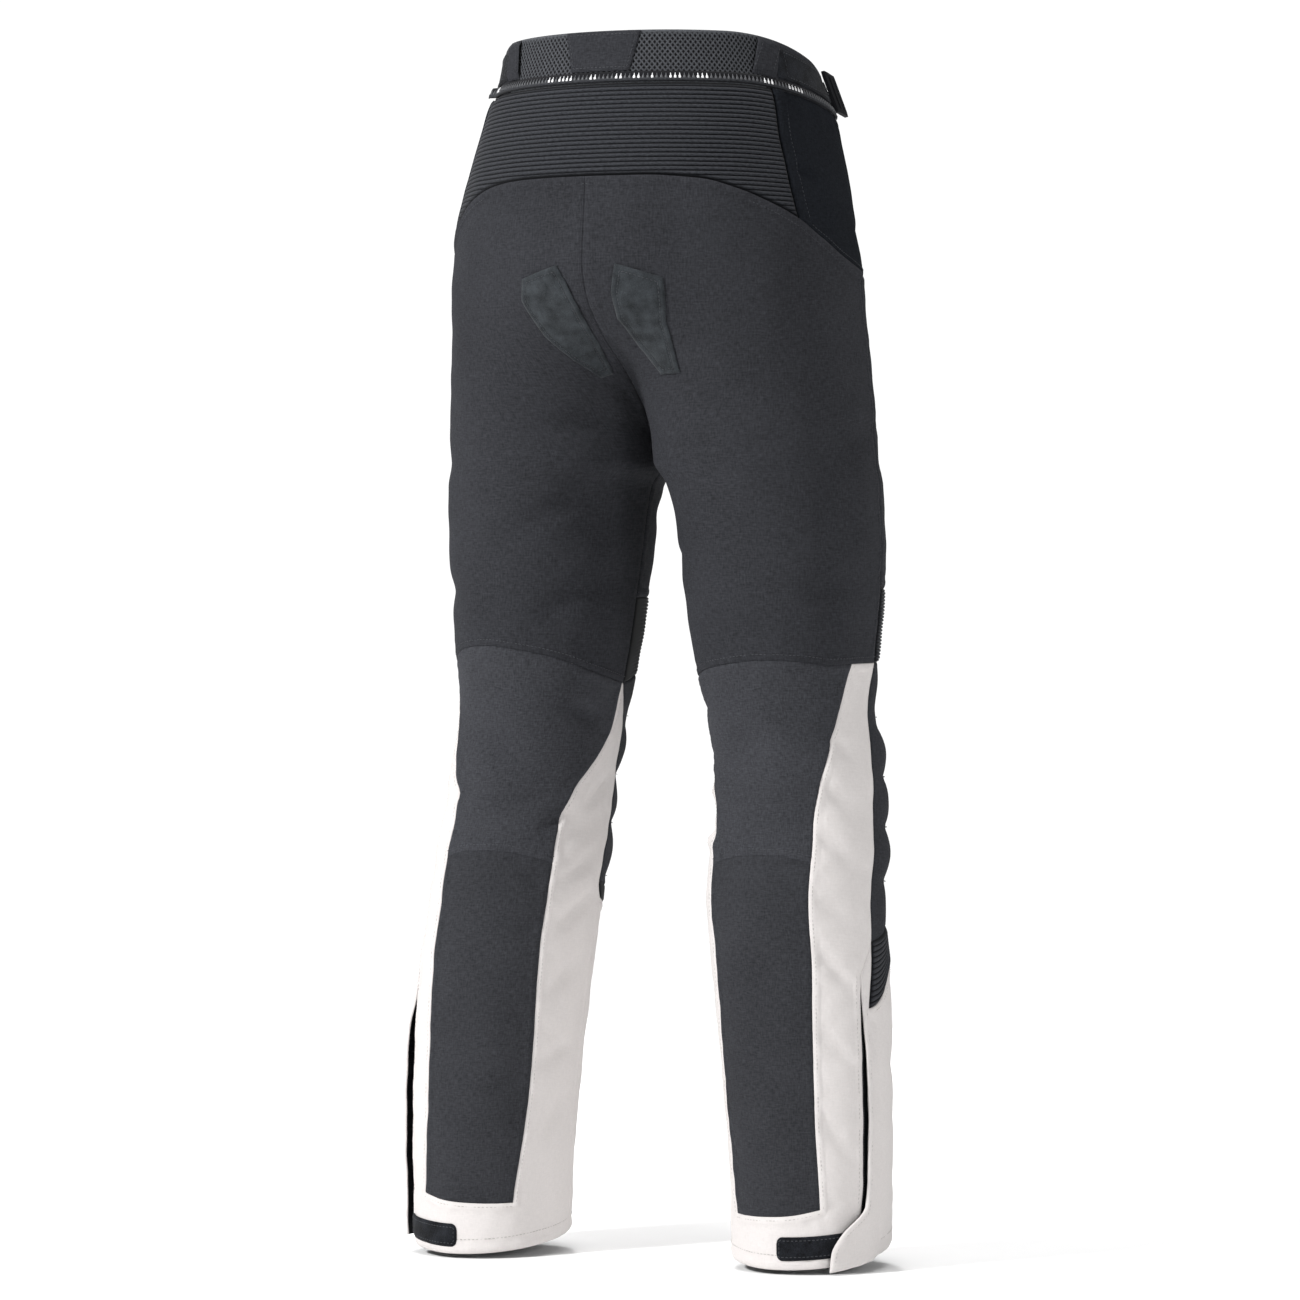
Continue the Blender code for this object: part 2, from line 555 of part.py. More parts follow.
def buckle(side, hosts):
    """A flat slider with a middle bar, tilted off the waist."""
    s0, s1 = BUCKLE
    drop0, drop1 = BUCKLE_DROP
    bar_s = BUCKLE_BAR / (LEG_GIRTH * 0.86)
    middle = (s0 + s1) / 2
    s_cuts = [s0, s0 + bar_s, middle - bar_s / 2, middle + bar_s / 2, s1 - bar_s, s1]
    drop_cuts = [drop0, drop0 + BUCKLE_BAR, drop1 - BUCKLE_BAR, drop1]
    cells = [(i, j) for i in range(3) for j in range(5) if i != 1 or j % 2 == 0]
    grids = [strip(s_cuts[j], s_cuts[j + 1], drop_cuts[i], drop_cuts[i + 1], 1, 1) for i, j in cells]

    def tilt(s, drop):
        return 2 * LAYER_GAP + TRIM_WALL + BUCKLE_WALL + BUCKLE_TILT * (s1 - s) / (s1 - s0)
    cloth("adjuster_buckle", side, grids, PLASTIC, BUCKLE_WALL, tilt, hosts=hosts)


def front_closing():
    """The fly's cover, the closure tab over the meeting ends of the band, and its snap."""
    s0, s1, drop0, drop1 = FLY
    cloth("fly_cover", None, [strip(s0, s1, drop0, drop1, 5, 14)], CLOTH_BLACK, TRIM_WALL,
          LAYER_GAP + TRIM_WALL, bounds=(-1, 1), hosts=["left_front_thigh", "right_front_thigh"])
    s0, s1, drop0, drop1 = CLOSURE_TAB
    cloth("closure_tab", None, [strip(s0, s1, drop0, drop1, 8, 3)], CLOTH_BLACK, TRIM_WALL,
          LAYER_GAP + TRIM_WALL, bounds=(-1, 1), hosts=["left_waist_front", "right_waist_front"])
    place = np.array([SNAP_PLACE])
    out = normals(place[:, 0], place[:, 1], -1, 1)
    centre = seated(surface(place[:, 0], place[:, 1]), out, [], host_tree(["closure_tab"], 1))[0]
    mesh = bmesh.new()
    bmesh.ops.create_cone(mesh, cap_ends=True, segments=20, radius1=SNAP_RADIUS, radius2=SNAP_RADIUS * 0.72,
                          depth=SNAP_HEIGHT)
    item = add_object("closure_snap", mesh, METAL)
    item.location = centre + out[0] * (LAYER_GAP + SNAP_HEIGHT / 2)
    item.rotation_mode = "QUATERNION"
    item.rotation_quaternion = Vector(out[0]).to_track_quat("Z", "Y")


def seam_lines(side):
    """The lines that two panels share, each with the points that both use."""
    yoke_out = at_s(YOKE, OUTSEAM[0][1])
    hip_foot = HIP_BACK_EDGE[-1][1]
    stretch_out = at_drop(OUTSEAM, STRETCH_TOP[-1][1])
    seam = KNEE_SEAM[side]
    flap_corner = at_drop(ZIP_EDGE[side], FLAP_CORNER)
    slant_top = KNEE_FOOT[-1][1]
    calf_foot = round_line(CALF_HEM, CALF_HEM[0][0], CALF_HEM[-1][0], 8)
    inner_s = INNER_FRONT_EDGE[-1][1]
    return {
        "yoke_front": round_line(YOKE, YOKE[0][0], yoke_out[0], 3),
        "yoke_side": round_line(YOKE, yoke_out[0], hip_foot, 4),
        "yoke_back": round_line(YOKE, hip_foot, 1.0, 8),
        "hip_back": down_line(HIP_BACK_EDGE, WAIST_SEAM, HIP_BACK_EDGE[-1][0], 8),
        "hip_front": straight((YOKE[0][0], WAIST_SEAM), YOKE[0], 7),
        "outseam": down_line(OUTSEAM, yoke_out[1], stretch_out[1], 12),
        "outseam_low": down_line(OUTSEAM, stretch_out[1], OUTSEAM[-1][0], 4),
        "stretch_top": join(round_line(STRETCH_TOP, 0, YOKE[0][0], 5),
                            round_line(STRETCH_TOP, YOKE[0][0], stretch_out[0], 3)),
        "knee_front_top": round_line(KNEE_FRONT_SEAM, 0, KNEE_FRONT_SEAM[-1][0], 8),
        "knee_side_top": round_line(seam, seam[0][0], OUTER_BACK_EDGE[0][1], 3),
        "knee_back_top": round_line(seam, OUTER_BACK_EDGE[0][1], INNER_BACK_EDGE[0][1], 8),
        "knee_tip_top": round_line(seam, INNER_BACK_EDGE[0][1], 1.0, 1),
        "outer_front": down_line(OUTER_FRONT_EDGE, OUTER_FRONT_EDGE[0][0], slant_top, 10),
        "outer_front_low": down_line(OUTER_FRONT_EDGE, slant_top, OUTER_FRONT_EDGE[-1][0], 3),
        "slant": straight(at_drop(OUTER_FRONT_EDGE, slant_top), flap_corner, 3),
        "outer_back": down_line(OUTER_BACK_EDGE, OUTER_BACK_EDGE[0][0], CALF_SEAM[0][1], 10),
        "outer_back_mid": down_line(OUTER_BACK_EDGE, CALF_SEAM[0][1], FLAP_CORNER, 3),
        "outer_back_low": down_line(OUTER_BACK_EDGE, FLAP_CORNER, CALF_HEM[0][1], 7),
        "zip_edge": down_line(ZIP_EDGE[side], FLAP_CORNER, CALF_HEM[0][1], 7),
        "zip_edge_hem": down_line(ZIP_EDGE[side], CALF_HEM[0][1], HEM, 2),
        "inner_back": down_line(INNER_BACK_EDGE, INNER_BACK_EDGE[0][0], CALF_SEAM[-1][1], 10),
        "inner_back_mid": down_line(INNER_BACK_EDGE, CALF_SEAM[-1][1], SHIN_SEAM[0][1], 2),
        "inner_back_low": down_line(INNER_BACK_EDGE, SHIN_SEAM[0][1], CALF_HEM[-1][1], 8),
        "inner_front": down_line(INNER_FRONT_EDGE, INNER_FRONT_EDGE[0][0], KNEE_FOOT[0][1], 10),
        "inner_front_mid": down_line(INNER_FRONT_EDGE, KNEE_FOOT[0][1], SHIN_SEAM[0][1], 2),
        "inner_front_low": straight((inner_s, SHIN_SEAM[0][1]), (inner_s, CALF_HEM[-1][1]), 8),
        "inner_front_hem": straight((inner_s, CALF_HEM[-1][1]), (inner_s, HEM), 2),
        "knee_foot": round_line(KNEE_FOOT, KNEE_FOOT[0][0], KNEE_FOOT[-1][0], 8),
        "shin_top": round_line(SHIN_SEAM, SHIN_SEAM[0][0], SHIN_SEAM[-1][0], 8),
        "calf_top": round_line(CALF_SEAM, CALF_SEAM[0][0], CALF_SEAM[-1][0], 8),
        "calf_foot": calf_foot,
    }


def shifted(line, s):
    """A line moved round by s."""
    return line + (s, 0)


def hip_pieces():
    """The ribbed stretch panel over the lower back and the side panels in front of it."""
    lines = seam_lines("left")
    left = subdivide(lines["hip_back"], 2 * LUMBAR_RIBS[0])
    foot = join(lines["yoke_back"], other_half(lines["yoke_back"]))
    mesh_left, mesh_right = (BELT_LOOP["left"][1], WAIST_SEAM), (2 - BELT_LOOP["right"][1], WAIST_SEAM)
    top = join(straight(left[0], mesh_left, 3), straight(mesh_left, mesh_right, 12),
               straight(mesh_right, (2 - left[0][0], WAIST_SEAM), 1))
    back = patch(left, left * (-1, 1) + (2, 0), top, foot)
    cloth("lumbar_stretch", None, [back], STRETCH_BLACK, relief=ribs(*LUMBAR_RIBS), inner_step=5,
          bounds=(0, 2), gap=RIB_GAP)
    front = subdivide(lines["hip_front"], 8)
    panel = patch(front, lines["hip_back"], straight(front[0], left[0], 7),
                  join(lines["yoke_front"], lines["yoke_side"]))
    for side in SIDES:
        cloth("hip_side", side, [panel], CLOTH_BLACK)


def thigh_pieces(side, lines):
    """The seat with the back of the thigh, the front of the thigh, and the stretch panel above the knee."""
    knee_drop = KNEE_SEAM[side][-1][1]
    centre_back = join(straight((1, YOKE[-1][1]), (1, 0.18), 3), straight((1, 0.18), (1, 0.34), 8),
                       straight((1, 0.34), (1, knee_drop), 5))
    seat = patch(join(lines["outseam"], lines["outseam_low"]), centre_back,
                 join(lines["yoke_side"], lines["yoke_back"]),
                 join(lines["knee_side_top"], lines["knee_back_top"], lines["knee_tip_top"]))
    cloth("seat_and_thigh", side, [seat], CLOTH_BLACK)

    hip = YOKE[0]
    hip_line = straight((0, hip[1]), hip, 5)
    upper = patch(straight((0, WAIST_SEAM), (0, hip[1]), 7), lines["hip_front"],
                  straight((0, WAIST_SEAM), (hip[0], WAIST_SEAM), 5), hip_line)
    middle = straight(hip, at_s(STRETCH_TOP, hip[0]), 12)
    centre_front = join(straight((0, hip[1]), (0, 0.20), 1), straight((0, 0.20), (0, 0.34), 7),
                        straight((0, 0.34), STRETCH_TOP[0], 4))
    inner = patch(centre_front, middle, hip_line, lines["stretch_top"][:6])
    outer = patch(middle, lines["outseam"], lines["yoke_front"], lines["stretch_top"][5:])
    cloth("front_thigh", side, [upper, inner, outer], CLOTH_BLACK)

    rows = 2 * STRETCH_RIBS[0]
    stretch = patch(straight(STRETCH_TOP[0], KNEE_FRONT_SEAM[0], rows), subdivide(lines["outseam_low"], rows),
                    lines["stretch_top"], lines["knee_front_top"])
    cloth("thigh_stretch", side, [stretch], STRETCH_BLACK, relief=ribs(*STRETCH_RIBS), inner_step=5,
          gap=RIB_GAP)


def knee_pieces(side, lines):
    """The padded knee, the ribbed piece under it, the back of the knee and the calf."""
    knee = patch(halved(shifted(lines["inner_front"], -1)), halved(lines["outer_front"]),
                 lines["knee_front_top"], lines["knee_foot"])
    cloth("knee_front", side, [knee], MESH_BLACK, relief=pad_relief, inner_step=2, gap=RIB_GAP)
    rows = 2 * SHIN_RIBS[0]
    below = patch(subdivide(shifted(lines["inner_front_mid"], -1), rows),
                  subdivide(lines["outer_front_low"], rows), lines["knee_foot"], lines["shin_top"])
    cloth("shin_stretch", side, [below], STRETCH_BLACK, relief=ribs(*SHIN_RIBS), inner_step=4, gap=RIB_GAP)
    knee_back = patch(lines["outer_back"], lines["inner_back"], lines["knee_back_top"], lines["calf_top"])
    cloth("knee_back", side, [knee_back], CLOTH_KNEE)
    calf = patch(join(lines["outer_back_mid"], lines["outer_back_low"]),
                 join(lines["inner_back_mid"], lines["inner_back_low"]),
                 lines["calf_top"], lines["calf_foot"])
    cloth("calf", side, [calf], CLOTH_BLACK)


def side_panel(side, lines):
    """The light panel that runs down both sides of the calf and round under it as the hem."""
    corner, corner_back = lines["zip_edge"][0], lines["outer_back_low"][0]
    across = straight(corner, corner_back, 3)
    calf_front, calf_inner = lines["calf_foot"][0], lines["calf_foot"][-1]
    hem_top = straight(lines["zip_edge"][-1], calf_front, 3)
    inner_hem_top = straight(calf_inner, lines["inner_front_low"][-1], 4)
    below_knee = straight(lines["inner_back_low"][0], lines["inner_front_low"][0], 4)
    front_down = straight(calf_front, (calf_front[0], HEM), 2)
    inner_down = straight(calf_inner, (calf_inner[0], HEM), 2)
    tip = straight(lines["inner_back"][0], lines["inner_front"][0], 4)
    grids = [
        patch(join(lines["outer_front"], lines["slant"]), join(lines["outer_back"], lines["outer_back_mid"]),
              lines["knee_side_top"], across),
        patch(lines["zip_edge"], lines["outer_back_low"], across, hem_top),
        patch(lines["zip_edge_hem"], front_down, hem_top,
              straight(lines["zip_edge_hem"][-1], front_down[-1], 3)),
        patch(front_down, inner_down, lines["calf_foot"], straight(front_down[-1], inner_down[-1], 8)),
        patch(inner_down, lines["inner_front_hem"], inner_hem_top,
              straight(inner_down[-1], lines["inner_front_hem"][-1], 4)),
        patch(lines["inner_back_low"], lines["inner_front_low"], below_knee, inner_hem_top),
        patch(join(lines["inner_back"], lines["inner_back_mid"]),
              join(lines["inner_front"], lines["inner_front_mid"]), tip, below_knee),
    ]
    cloth("side_panel", side, grids, CLOTH_GREY, bounds=(0, 2))


def shin(side, lines):
    """The light shin, whose back edge runs free over the zip and stands off the leg."""
    edge = FLAP_EDGE[side]
    slant = lines["slant"]
    tip_s, tip_drop = SHIN_SEAM[-1]
    free = down_line(edge, tip_drop, edge[-1][0], 10)
    start = slant[0] + (slant[-1] - slant[0]) * COVER_TIP
    cover_back = np.array([start, slant[-1], at_drop(edge, (FLAP_CORNER + tip_drop) / 2), free[0]])
    cover_foot = straight((tip_s, tip_drop), free[0], 3)
    cover = patch(lines["outer_front_low"], cover_back, straight(slant[0], start, 3), cover_foot)
    inner_side = shifted(join(lines["inner_front_low"], lines["inner_front_hem"]), -1)
    hem = join(straight(inner_side[-1], (FLAP_HINGE, HEM), 8), straight((FLAP_HINGE, HEM), free[-1], 3))
    body = patch(inner_side, free, join(lines["shin_top"], cover_foot), hem)

    def lift(s, drop):
        return FLAP_LIFT[side] * ease(FLAP_HINGE, FLAP_OPEN_S, s) * ease(FLAP_CORNER, FLAP_OPEN_DROP, drop)
    cloth("shin", side, [cover, body], CLOTH_GREY, lift=lift)


def zip_pieces(side):
    """The dark gusset behind the leg zip and the fastening tab on the hem."""
    gusset = strip(GUSSET_FRONT, GUSSET_BACK, GUSSET_TOP, GUSSET_FOOT, 3, 9)
    cloth("zip_gusset", side, [gusset], CLOTH_BLACK, TRIM_WALL, -GUSSET_SINK)
    s0, s1, drop0, drop1 = HEM_TAB[side]
    cloth("hem_tab", side, [strip(s0, s1, drop0, drop1, 8, 2)], HOOK_BLACK, TRIM_WALL, LAYER_GAP + TRIM_WALL,
          hosts=[f"{side}_side_panel"])


def grip_patch(side):
    """A suede patch that lies on the seat beside the crotch seam."""
    outer, inner = GRIP_PATCH[side]["outer"], GRIP_PATCH[side]["inner"]
    left = subdivide(np.array(outer), 8)
    right = subdivide(np.array(inner), 8)
    panel = patch(left, right, straight(left[0], right[0], 5), straight(left[-1], right[-1], 5))
    cloth("grip_patch", side, [panel], SUEDE, TRIM_WALL, LAYER_GAP + TRIM_WALL,
          hosts=[f"{side}_seat_and_thigh"])


def main():
    """Clear the scene and build every piece."""
    for item in list(bpy.data.objects):
        bpy.data.objects.remove(item, do_unlink=True)
    waist_pieces()
    waist_trim()
    hip_pieces()
    for side in SIDES:
        lines = seam_lines(side)
        thigh_pieces(side, lines)
        knee_pieces(side, lines)
        side_panel(side, lines)
        shin(side, lines)
        zip_pieces(side)
        grip_patch(side)
    front_closing()


main()
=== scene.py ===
"""Motorcycle trousers in black and pale grey cloth, filled out as if worn, seen from behind.

Every panel is a thin shell on the same outer surface as its solid, surface(s, drop): s runs from the
centre front (0) past the side (0.5) to the centre back (1), and once round the leg below the fork.
drop is the distance below the waist, in metres.
"""
from math import pi

import bpy
import numpy as np
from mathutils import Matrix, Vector


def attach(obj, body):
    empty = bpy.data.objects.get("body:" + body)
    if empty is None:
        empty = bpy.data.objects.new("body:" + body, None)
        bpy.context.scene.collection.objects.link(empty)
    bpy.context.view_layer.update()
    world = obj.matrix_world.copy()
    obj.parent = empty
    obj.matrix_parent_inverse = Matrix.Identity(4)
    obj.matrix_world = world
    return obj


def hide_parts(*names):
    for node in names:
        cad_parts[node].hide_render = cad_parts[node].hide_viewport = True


# Driving sizes, as in the solids
WALL = 0.0018
TRIM_WALL = 0.0012
SEAM_GAP = -0.0002
RIB_GAP = 0.0003
LAYER_GAP = 0.00045
LIFT = LAYER_GAP + TRIM_WALL
WAIST_TOP = -0.036
WAIST_SEAM = 0.010
WAIST_DIP = 0.040
HEM = 1.022
HEM_RISE = 0.022
FORK = 0.332
LEG_GIRTH = 0.50
SIDES = {"left": 1, "right": -1}

# Rings round the body: drop, half width, front y, side y, back y, fullness of the curve
TORSO = [
    (-0.036, 0.1365, -0.110, -0.005, 0.127, 2.05),
    (-0.002, 0.1435, -0.119, -0.008, 0.133, 2.05),
    (0.024, 0.1535, -0.127, -0.010, 0.142, 2.05),
    (0.064, 0.1635, -0.131, -0.008, 0.156, 2.08),
    (0.110, 0.1740, -0.129, -0.002, 0.165, 2.10),
    (0.170, 0.1825, -0.124, 0.000, 0.170, 2.15),
    (0.240, 0.1860, -0.120, -0.006, 0.167, 2.18),
    (0.310, 0.1920, -0.118, -0.010, 0.160, 2.18),
    (0.450, 0.1960, -0.112, -0.012, 0.140, 2.10),
]
# Rings round the leg: drop, x of the inseam, centre y, half width, half depth
LEG = [
    (0.120, 0.0004, -0.006, 0.0928, 0.1220),
    (0.330, 0.0005, -0.011, 0.0965, 0.1160),
    (0.350, 0.0125, -0.012, 0.0922, 0.1140),
    (0.417, 0.0238, -0.014, 0.0870, 0.1075),
    (0.486, 0.0339, -0.014, 0.0798, 0.0970),
    (0.555, 0.0470, -0.014, 0.0718, 0.0860),
    (0.623, 0.0563, -0.008, 0.0722, 0.0830),
    (0.675, 0.0557, 0.004, 0.0755, 0.0840),
    (0.710, 0.0570, 0.013, 0.0755, 0.0835),
    (0.760, 0.0630, 0.017, 0.0755, 0.0835),
    (0.812, 0.0690, 0.019, 0.0745, 0.0830),
    (0.880, 0.0760, 0.020, 0.0720, 0.0820),
    (0.950, 0.0820, 0.021, 0.0690, 0.0800),
    (1.022, 0.0845, 0.022, 0.0670, 0.0785),
]
# Share of the leg ring where the crotch seam curves down and forward: drop, share
FORK_BACK = [(-0.05, 0), (0.165, 0), (0.190, 0.04), (0.220, 0.20), (0.254, 0.52), (0.280, 0.72),
             (0.318, 0.96), (FORK, 1), (1.1, 1)]
FORK_FRONT = [(-0.05, 0), (0.190, 0), (0.230, 0.06), (0.262, 0.24), (0.295, 0.56), (FORK, 1), (1.1, 1)]

# Largest folds, in the solids too: s and drop of one end, of the other end, half width, depth
FOLDS = [
    (0.98, 0.350, 0.80, 0.420, 0.022, 0.0030),
    (0.72, 0.590, 0.92, 0.606, 0.018, 0.0030),
    (0.60, 0.640, 0.80, 0.648, 0.018, 0.0025),
    (1.00, 0.640, 0.86, 0.662, 0.016, 0.0035),
    (0.06, 0.300, 0.24, 0.250, 0.024, 0.0035),
    (0.05, 0.345, 0.26, 0.330, 0.022, 0.0030),
    (0.30, 0.240, 0.42, 0.200, 0.022, 0.0025),
    (0.66, 0.860, 0.88, 0.830, 0.022, 0.0022),
    (0.12, 0.880, 0.40, 0.905, 0.024, 0.0025),
]
# Finer creases: s, drop of one end, of the other end, half width, depth (ridges below 0)
CREASES = {
    "right": [
        (0.56, 0.590, 0.64, 0.560, 0.007, 0.0010),
        (0.56, 0.640, 0.66, 0.600, 0.009, 0.0013),
        (0.55, 0.690, 0.66, 0.645, 0.008, 0.0011),
        (0.56, 0.735, 0.66, 0.700, 0.009, 0.0010),
        (0.58, 0.790, 0.67, 0.740, 0.008, 0.0012),
        (0.59, 0.850, 0.67, 0.812, 0.008, 0.0009),
        (0.60, 0.930, 0.67, 0.885, 0.009, 0.0010),
        (0.90, 0.636, 1.07, 0.640, 0.0085, 0.0036),
        (0.86, 0.664, 1.04, 0.656, 0.0080, -0.0016),
        (0.90, 0.616, 1.04, 0.620, 0.0080, -0.0012),
        (0.90, 0.535, 0.99, 0.570, 0.0090, 0.0014),
        (0.88, 0.560, 0.97, 0.600, 0.0080, 0.0012),
        (0.84, 0.520, 0.93, 0.545, 0.0090, 0.0010),
        (0.58, 0.088, 0.64, 0.080, 0.006, 0.0012),
        (0.70, 0.560, 0.86, 0.585, 0.013, 0.0014),
        (0.72, 0.625, 0.90, 0.600, 0.014, 0.0012),
        (0.86, 0.250, 0.70, 0.300, 0.017, 0.0016),
        (0.94, 0.300, 0.78, 0.345, 0.012, 0.0014),
        (0.97, 0.400, 0.84, 0.440, 0.012, 0.0012),
        (0.70, 0.760, 0.86, 0.790, 0.016, 0.0012),
        (0.68, 0.930, 0.84, 0.905, 0.016, 0.0012),
    ],
    "left": [
        (0.90, 0.700, 1.00, 0.668, 0.008, 0.0012),
        (0.90, 0.742, 1.00, 0.705, 0.010, 0.0016),
        (0.90, 0.800, 0.99, 0.760, 0.009, 0.0014),
        (0.90, 0.860, 0.99, 0.835, 0.009, 0.0010),
        (0.92, 0.930, 0.99, 0.880, 0.010, 0.0012),
        (0.93, 0.640, 1.03, 0.600, 0.008, 0.0012),
        (0.86, 0.540, 0.96, 0.560, 0.0090, 0.0014),
        (0.60, 0.625, 0.76, 0.610, 0.0100, 0.0014),
        (0.84, 0.655, 0.93, 0.630, 0.0080, 0.0014),
        (0.82, 0.690, 0.88, 0.700, 0.0050, 0.0010),
        (0.82, 0.735, 0.88, 0.742, 0.0050, 0.0009),
        (0.80, 0.880, 0.88, 0.868, 0.0060, 0.0010),
        (0.66, 0.560, 0.84, 0.600, 0.016, 0.0018),
        (0.70, 0.640, 0.88, 0.620, 0.014, 0.0014),
        (0.92, 0.350, 0.76, 0.395, 0.012, 0.0015),
        (0.96, 0.290, 0.80, 0.310, 0.013, 0.0015),
        (0.93, 0.430, 0.80, 0.470, 0.012, 0.0012),
        (0.58, 0.090, 0.64, 0.082, 0.006, 0.0010),
        (0.70, 0.745, 0.84, 0.770, 0.016, 0.0012),
        (0.70, 0.890, 0.86, 0.920, 0.016, 0.0012),
        (0.56, 0.700, 0.66, 0.660, 0.008, 0.0010),
    ],
    "both": [
        (0.02, 0.270, 0.20, 0.205, 0.012, 0.0018),
        (0.02, 0.310, 0.22, 0.285, 0.012, 0.0018),
        (0.03, 0.375, 0.22, 0.360, 0.014, 0.0014),
        (0.10, 0.410, 0.34, 0.400, 0.014, 0.0012),
        (0.30, 0.330, 0.44, 0.290, 0.014, 0.0014),
        (0.34, 0.150, 0.46, 0.120, 0.012, 0.0012),
        (0.06, 0.840, 0.36, 0.815, 0.014, 0.0014),
        (0.10, 0.940, 0.42, 0.965, 0.014, 0.0012),
        (0.30, 0.870, 0.48, 0.850, 0.012, 0.0012),
        (0.46, 0.300, 0.60, 0.330, 0.014, 0.0012),
        (0.50, 0.430, 0.66, 0.450, 0.016, 0.0012),
    ],
}

# Seam lines that run down: drop, s
HIP_BACK_EDGE = [(0.010, 0.661), (0.047, 0.662), (0.074, 0.657), (0.097, 0.652), (0.127, 0.641)]
OUTSEAM = [(0.166, 0.470), (0.440, 0.474), (0.506, 0.481)]
OUTER_BACK_EDGE = [(0.507, 0.555), (0.538, 0.576), (0.572, 0.609), (0.606, 0.640), (0.632, 0.653),
                   (0.677, 0.660), (0.741, 0.662), (0.826, 0.671), (0.894, 0.673), (0.972, 0.666)]
OUTER_FRONT_EDGE = [(0.506, 0.481), (0.530, 0.491), (0.573, 0.509), (0.607, 0.516), (0.667, 0.521),
                    (0.710, 0.522), (0.743, 0.531), (0.761, 0.537), (0.802, 0.555)]
INNER_BACK_EDGE = [(0.524, 0.996), (0.560, 0.988), (0.587, 0.960), (0.618, 0.912), (0.644, 0.890),
                   (0.681, 0.882), (0.740, 0.880), (0.800, 0.885), (0.853, 0.889), (0.898, 0.887),
                   (0.980, 0.867)]
INNER_FRONT_EDGE = [(0.524, 1.000), (0.545, 1.020), (0.575, 1.038), (0.615, 1.050), (0.650, 1.036),
                    (0.680, 1.016), (0.698, 1.014), (0.714, 1.030)]
# Seam lines that run round: s, drop
YOKE = [(0.300, 0.172), (0.440, 0.168), (0.529, 0.158), (0.595, 0.141), (0.641, 0.127), (0.698, 0.114),
        (0.751, 0.104), (0.819, 0.095), (0.915, 0.092), (1.000, 0.092)]
KNEE_SEAM = {
    "right": [(0.481, 0.506), (0.555, 0.507), (0.603, 0.508), (0.657, 0.505), (0.726, 0.504),
              (0.810, 0.508), (0.912, 0.516), (1.000, 0.524)],
    "left": [(0.481, 0.506), (0.555, 0.507), (0.603, 0.499), (0.657, 0.493), (0.710, 0.491),
             (0.781, 0.495), (0.851, 0.503), (0.931, 0.516), (1.000, 0.524)],
}
KNEE_FRONT_SEAM = [(0.000, 0.524), (0.100, 0.516), (0.250, 0.508), (0.400, 0.505), (0.481, 0.506)]
KNEE_FOOT = [(0.014, 0.698), (0.100, 0.705), (0.250, 0.717), (0.400, 0.730), (0.500, 0.743), (0.531, 0.745)]
STRETCH_TOP = [(0.000, 0.448), (0.474, 0.440)]
CALF_SEAM = [(0.660, 0.677), (0.717, 0.671), (0.776, 0.6705), (0.830, 0.674), (0.882, 0.681)]
CALF_HEM = [(0.666, 0.972), (0.725, 0.976), (0.791, 0.978), (0.867, 0.980)]
SHIN_SEAM = [(0.030, 0.714), (0.100, 0.722), (0.250, 0.742), (0.400, 0.758), (0.460, 0.772),
             (0.500, 0.790), (0.530, 0.799), (0.555, 0.802)]

# Fine ribs: pitch over the lower back, and how many on the two other ribbed panels, with their rises
LUMBAR_PITCH = 0.0039
LUMBAR_RISE = 0.0021
STRETCH_RIBS = (22, 0.0016)
SHIN_RIBS = (12, 0.0014)
# Knee pads: drop of the middle, half height, rise
KNEE_PADS = [(0.527, 0.018, 0.0015), (0.583, 0.021, 0.0045), (0.627, 0.020, 0.0045),
             (0.672, 0.021, 0.0045), (0.716, 0.018, 0.0025)]
GRIP_PATCH = {
    "right": {"outer": [(0.884, 0.179), (0.880, 0.200), (0.879, 0.215), (0.845, 0.258)],
              "inner": [(0.955, 0.167), (0.964, 0.190), (0.962, 0.212), (0.930, 0.236), (0.883, 0.2585)]},
    "left": {"outer": [(0.899, 0.177), (0.890, 0.195), (0.904, 0.224), (0.926, 0.245), (0.949, 0.259)],
             "inner": [(0.963, 0.167), (0.975, 0.180), (0.985, 0.200), (0.989, 0.229), (0.976, 0.255)]},
}
# Lower leg zip
FLAP_CORNER = 0.773
FLAP_EDGE = {
    "right": [(FLAP_CORNER, 0.569), (0.830, 0.569), (0.880, 0.565), (0.950, 0.568),
              (0.975, 0.576), (0.995, 0.628), (1.010, 0.647), (1.026, 0.650)],
    "left": [(FLAP_CORNER, 0.569), (0.830, 0.575), (0.880, 0.577), (0.950, 0.575),
             (0.975, 0.573), (0.995, 0.574), (1.010, 0.576), (1.018, 0.577)],
}
FLAP_LIFT = {"right": 0.0065, "left": 0.0075}
FLAP_HINGE = 0.525
FLAP_OPEN_S = 0.575
FLAP_OPEN_DROP = 0.850
COVER_TIP = 0.12
ZIP_EDGE = {
    "right": [(FLAP_CORNER, 0.5695), (0.800, 0.573), (0.860, 0.575), (0.950, 0.575), (HEM, 0.585)],
    "left": [(FLAP_CORNER, 0.5695), (0.800, 0.580), (0.860, 0.587), (0.930, 0.585), (0.975, 0.590),
             (HEM, 0.600)],
}
GUSSET = (0.530, 0.602, 0.790, 1.012)
GUSSET_SINK = 0.0040
HEM_TAB = {"right": (0.600, 0.753, 0.994, 1.014), "left": (0.588, 0.753, 0.996, 1.016)}
